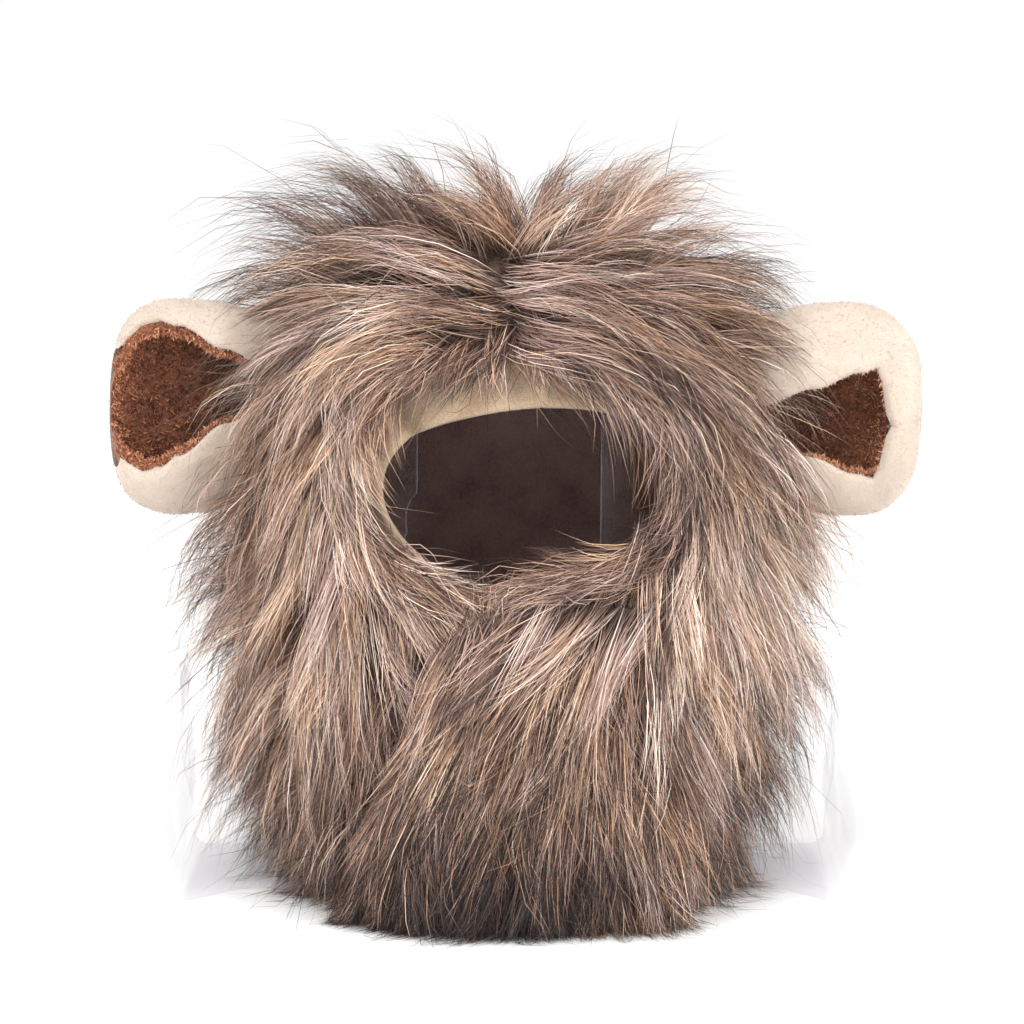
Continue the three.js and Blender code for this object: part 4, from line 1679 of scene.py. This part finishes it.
@dataclass
class ClearStand:
    """The rolled clear sheet inside the hood, and the film that spreads under each side hem."""

    form: HoodForm
    film: float = 0.5 * MM
    roll_width: float = 88 * MM
    roll_depth: float = 84 * MM
    left_edge: float = 62.0
    right_edge: float = 43.0
    notch_level: float = 152 * MM
    notch_radius: float = 5 * MM
    crease: float = 7 * MM
    ripple: float = 0.5 * MM
    foot_front: float = 22 * MM
    foot_back: float = 34 * MM
    wing_front: float = 40 * MM
    wing_wave: float = 3.2 * MM
    fold: float = 5 * MM
    reaches: dict[Side, float] = field(default_factory=lambda: {Side.LEFT: 119 * MM, Side.RIGHT: 117 * MM})
    heights: dict[Side, float] = field(default_factory=lambda: {Side.LEFT: 82 * MM, Side.RIGHT: 56 * MM})

    def sheet(self, name: str, made: Sheet, finishes: Sequence[Material]) -> None:
        """Gives a sheet its thickness, its face and its brighter cut edge.

        Args:
            name: The piece's name.
            made: The sheet.
            finishes: The face's and the edge's finish.
        """
        done = piece(name, to_mesh(made, name), finishes[0], ["clear_stand"])
        done.data.materials.append(finishes[1])
        thick = done.modifiers.new("film_thickness", "SOLIDIFY")
        thick.thickness = self.film
        thick.offset = 0.0
        thick.material_offset_rim = 1

    def roll(self, finishes: Sequence[Material]) -> None:
        """Makes the roll, from the floor to the crown, with a notch and a crease at its left edge.

        Args:
            finishes: The face's and the edge's finish.
        """
        cx, cy = self.form.centre

        def place(across: Array, up: Array) -> Array:
            """Rolls the grid up to the dome's inside."""
            level = up * self.form.crown
            bite = np.sqrt(np.clip(self.notch_radius**2 - (level - self.notch_level) ** 2, 0, None))
            last = 360 - self.left_edge - np.degrees(bite / (self.roll_width / 2))
            turn = np.radians(self.right_edge + (last - self.right_edge) * across)
            near_edge = smoothstep(0.86, 1.0, across)
            dent = self.ripple * np.sin(turn * 5 + up * 4) - near_edge * smoothstep(0.6, 0.72, up) * self.crease
            x = (self.roll_width / 2 + dent) * np.sin(turn)
            y = -(self.roll_depth / 2 + dent) * np.cos(turn)
            top = self.form.ceiling(x + cx, y + cy, -self.form.pile - 4 * MM) - 2 * MM
            return np.stack([x + cx, y + cy, up * top + self.film], axis=-1)

        self.sheet("film_roll", bent_grid(56, 90, place), finishes)

    def side(self, side: Side, finishes: Sequence[Material]) -> None:
        """Makes one side of the foot: it runs out under the hem, folds up and ends in a wavy wing.

        Args:
            side: Which side.
            finishes: The face's and the edge's finish.
        """
        cx, cy = self.form.centre
        reach, height = self.reaches[side], self.heights[side]
        start = self.roll_width / 2 - 2 * MM
        flat = reach - self.wing_wave - self.fold - start
        bend = self.fold * math.pi / 2

        def place(across: Array, up: Array) -> Array:
            """Lays the grid along the floor, round the fold and up the wing."""
            run = across * (flat + bend + height)
            arc = np.clip((run - flat) / bend, 0, 1) * math.pi / 2
            climb = np.maximum(run - flat - bend, 0)
            low = -self.foot_front + (self.foot_front - self.wing_front) * smoothstep(flat * 0.7, flat + bend, run)
            y = low + (self.foot_back - low) * up
            share = np.clip((y + self.wing_front) / (self.wing_front + self.foot_back), 0, 1)
            tall = 0.72 + 0.28 * np.sin(share * math.pi)
            x = start + np.minimum(run, flat) + self.fold * np.sin(arc)
            wave = np.sin((share * 2 + climb / height) * math.pi) + 0.35 * np.sin(share * 17 + climb * 60)
            x = x + self.wing_wave * wave * smoothstep(0, 30 * MM, climb)
            z = self.fold * (1 - np.cos(arc)) + climb * tall + self.film
            return np.stack([cx + side.value * x, cy + y, z], axis=-1)

        self.sheet(f"film_foot_{side.word}", bent_grid(64, 30, place), finishes)


# Studio


@dataclass(frozen=True)
class Studio:
    """A white sweep, soft light all round and the camera at the photograph's angle."""

    elevation: float = 10.0
    distance: float = 1.15
    frame_mm: float = 0.35 * 1024
    target: Triple = (-0.7 * MM, 0.0, 128.5 * MM)

    def camera(self) -> None:
        """Places the camera a little above the wig, looking down at it."""
        data = bpy.data.cameras.new("camera")
        data.sensor_width = 36.0
        data.lens = data.sensor_width / (self.frame_mm * MM / self.distance)
        data.clip_start, data.clip_end = 0.05, 50.0
        angle = math.radians(self.elevation)
        back = Vector((0.0, -math.cos(angle), math.sin(angle)))
        bpy.context.scene.camera = set_up(data, Vector(self.target) + back * self.distance, -back)

    def floor(self) -> None:
        """Makes the white floor that runs out past the view."""
        made = bmesh.new()
        bmesh.ops.create_grid(made, x_segments=1, y_segments=1, size=12.0)
        mesh = to_mesh(made, "floor")
        mesh.materials.append(Recipe("white_paper_sweep").done(Base_Color=linear("FFFFFF"), Roughness=0.9))
        floor = bpy.data.objects.new("floor", mesh)
        floor.location.z = -0.2 * MM
        bpy.context.scene.collection.objects.link(floor)

    def lamp(self, name: str, place: Triple, size: float, watts: float) -> None:
        """Adds a soft square lamp that looks at the wig.

        Args:
            name: Its name.
            place: Where it stands, in metres.
            size: Its side in metres.
            watts: Its power.
        """
        data = bpy.data.lights.new(name, "AREA")
        data.size = size
        data.energy = watts
        set_up(data, Vector(place), Vector(HEAD_MIDDLE) - Vector(place))

    def build(self) -> None:
        """Makes the whole studio."""
        scene = bpy.context.scene
        scene.view_settings.view_transform = "Standard"
        world = bpy.data.worlds.new("white_surround")
        world.use_nodes = True
        background = world.node_tree.nodes["Background"]
        background.inputs["Color"].default_value = linear("FFFFFF")
        background.inputs["Strength"].default_value = 1.0
        scene.world = world
        self.camera()
        self.floor()
        self.lamp("key", (-0.9, -1.3, 1.5), 0.9, 26.0)
        self.lamp("fill", (1.4, -1.1, 0.9), 1.0, 20.0)


def main() -> None:
    """Builds the wig piece by piece around the frame."""
    logging.basicConfig(level=logging.INFO, format="%(name)s %(message)s")
    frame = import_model()
    Studio().build()
    form = HoodForm.from_frame()
    hole, flap = FaceHole(form), FlapOutline(form)

    fur, felt = FurFinish().make(), UnderfurFinish().make()
    for side in Side:
        half = ManeHalf(side, form, hole, flap)
        half.underfur(felt)
        half.fur(fur)
    Rim(form, hole).fur(fur)
    chin = ChinFlap(form, flap)
    chin.wall(felt)
    chin.fur(fur)

    ear_finishes = {
        "plush": FleeceFinish("polyester_plush_brushed", "BCAA9A", "CFC0B1", 0.5 * MM).make(),
        "plush_pile": PileFinish("polyester_plush_nap", ("C8B8A9", "CFC1B3", "D8CCC0")).make(),
        "sherpa": FleeceFinish("sherpa_fleece_core", "5A352A", "986347", 1.6 * MM, 0.2).make(),
        "sherpa_pile": PileFinish("sherpa_fleece_curls", ("5C3629", "A4694F", "D0926F", "EBB793"), 0.9).make(),
    }
    left_spans = (172.0, 167.0, 156.0, 138.0, 128.0, 118.0, 106.0)
    right_spans = (172.0, 168.0, 158.0, 148.0, 143.0, 181.0, 184.0)
    left = EarForm(Side.LEFT, form.centre, roll=-16, yaw=20, droop=-2, curl=0.0, spans=left_spans)
    right = EarForm(Side.RIGHT, form.centre, roll=5, yaw=8, droop=1, curl=8 * MM, spans=right_spans)
    # The right ear's light of 0.34 is painted light on its deep, shaded cup.
    ears = (
        Ear(left, span=0.985, shell_reach=(0.0, 0.955), lining_reach=(0.04, 0.99), crease=-0.66, light=0.0),
        Ear(right, span=0.96, shell_reach=(0.0, 1.0), lining_reach=(0.06, 0.86), crease=-0.72, light=0.34),
    )
    for ear in ears:
        ear.build(ear_finishes)

    lining = Lining(form, hole)
    lining.facing(FleeceFinish("cream_fleece_facing", "957860", "C8AF93", 0.6 * MM).make())
    # The inside fleece is coloured dark brown as painted shade deep in the hood.
    lining.inside(FleeceFinish("fleece_lining_painted_shade", "74544A", "A68173", 0.8 * MM, 0.15).make())

    film = FilmFinish()
    edge = film.make("pet_film_cut_edge", 0.16)
    stand = ClearStand(form)
    stand.roll([film.make("pet_film_rolled", 0.04, 0.3), edge])
    foot = film.make("pet_film_creased", 0.14)
    for side in Side:
        stand.side(side, [foot, edge])
    frame["nodes"]["closure_patch"].material_slots[0].material = TapeFinish().make()


if __name__ == "__main__":
    main()
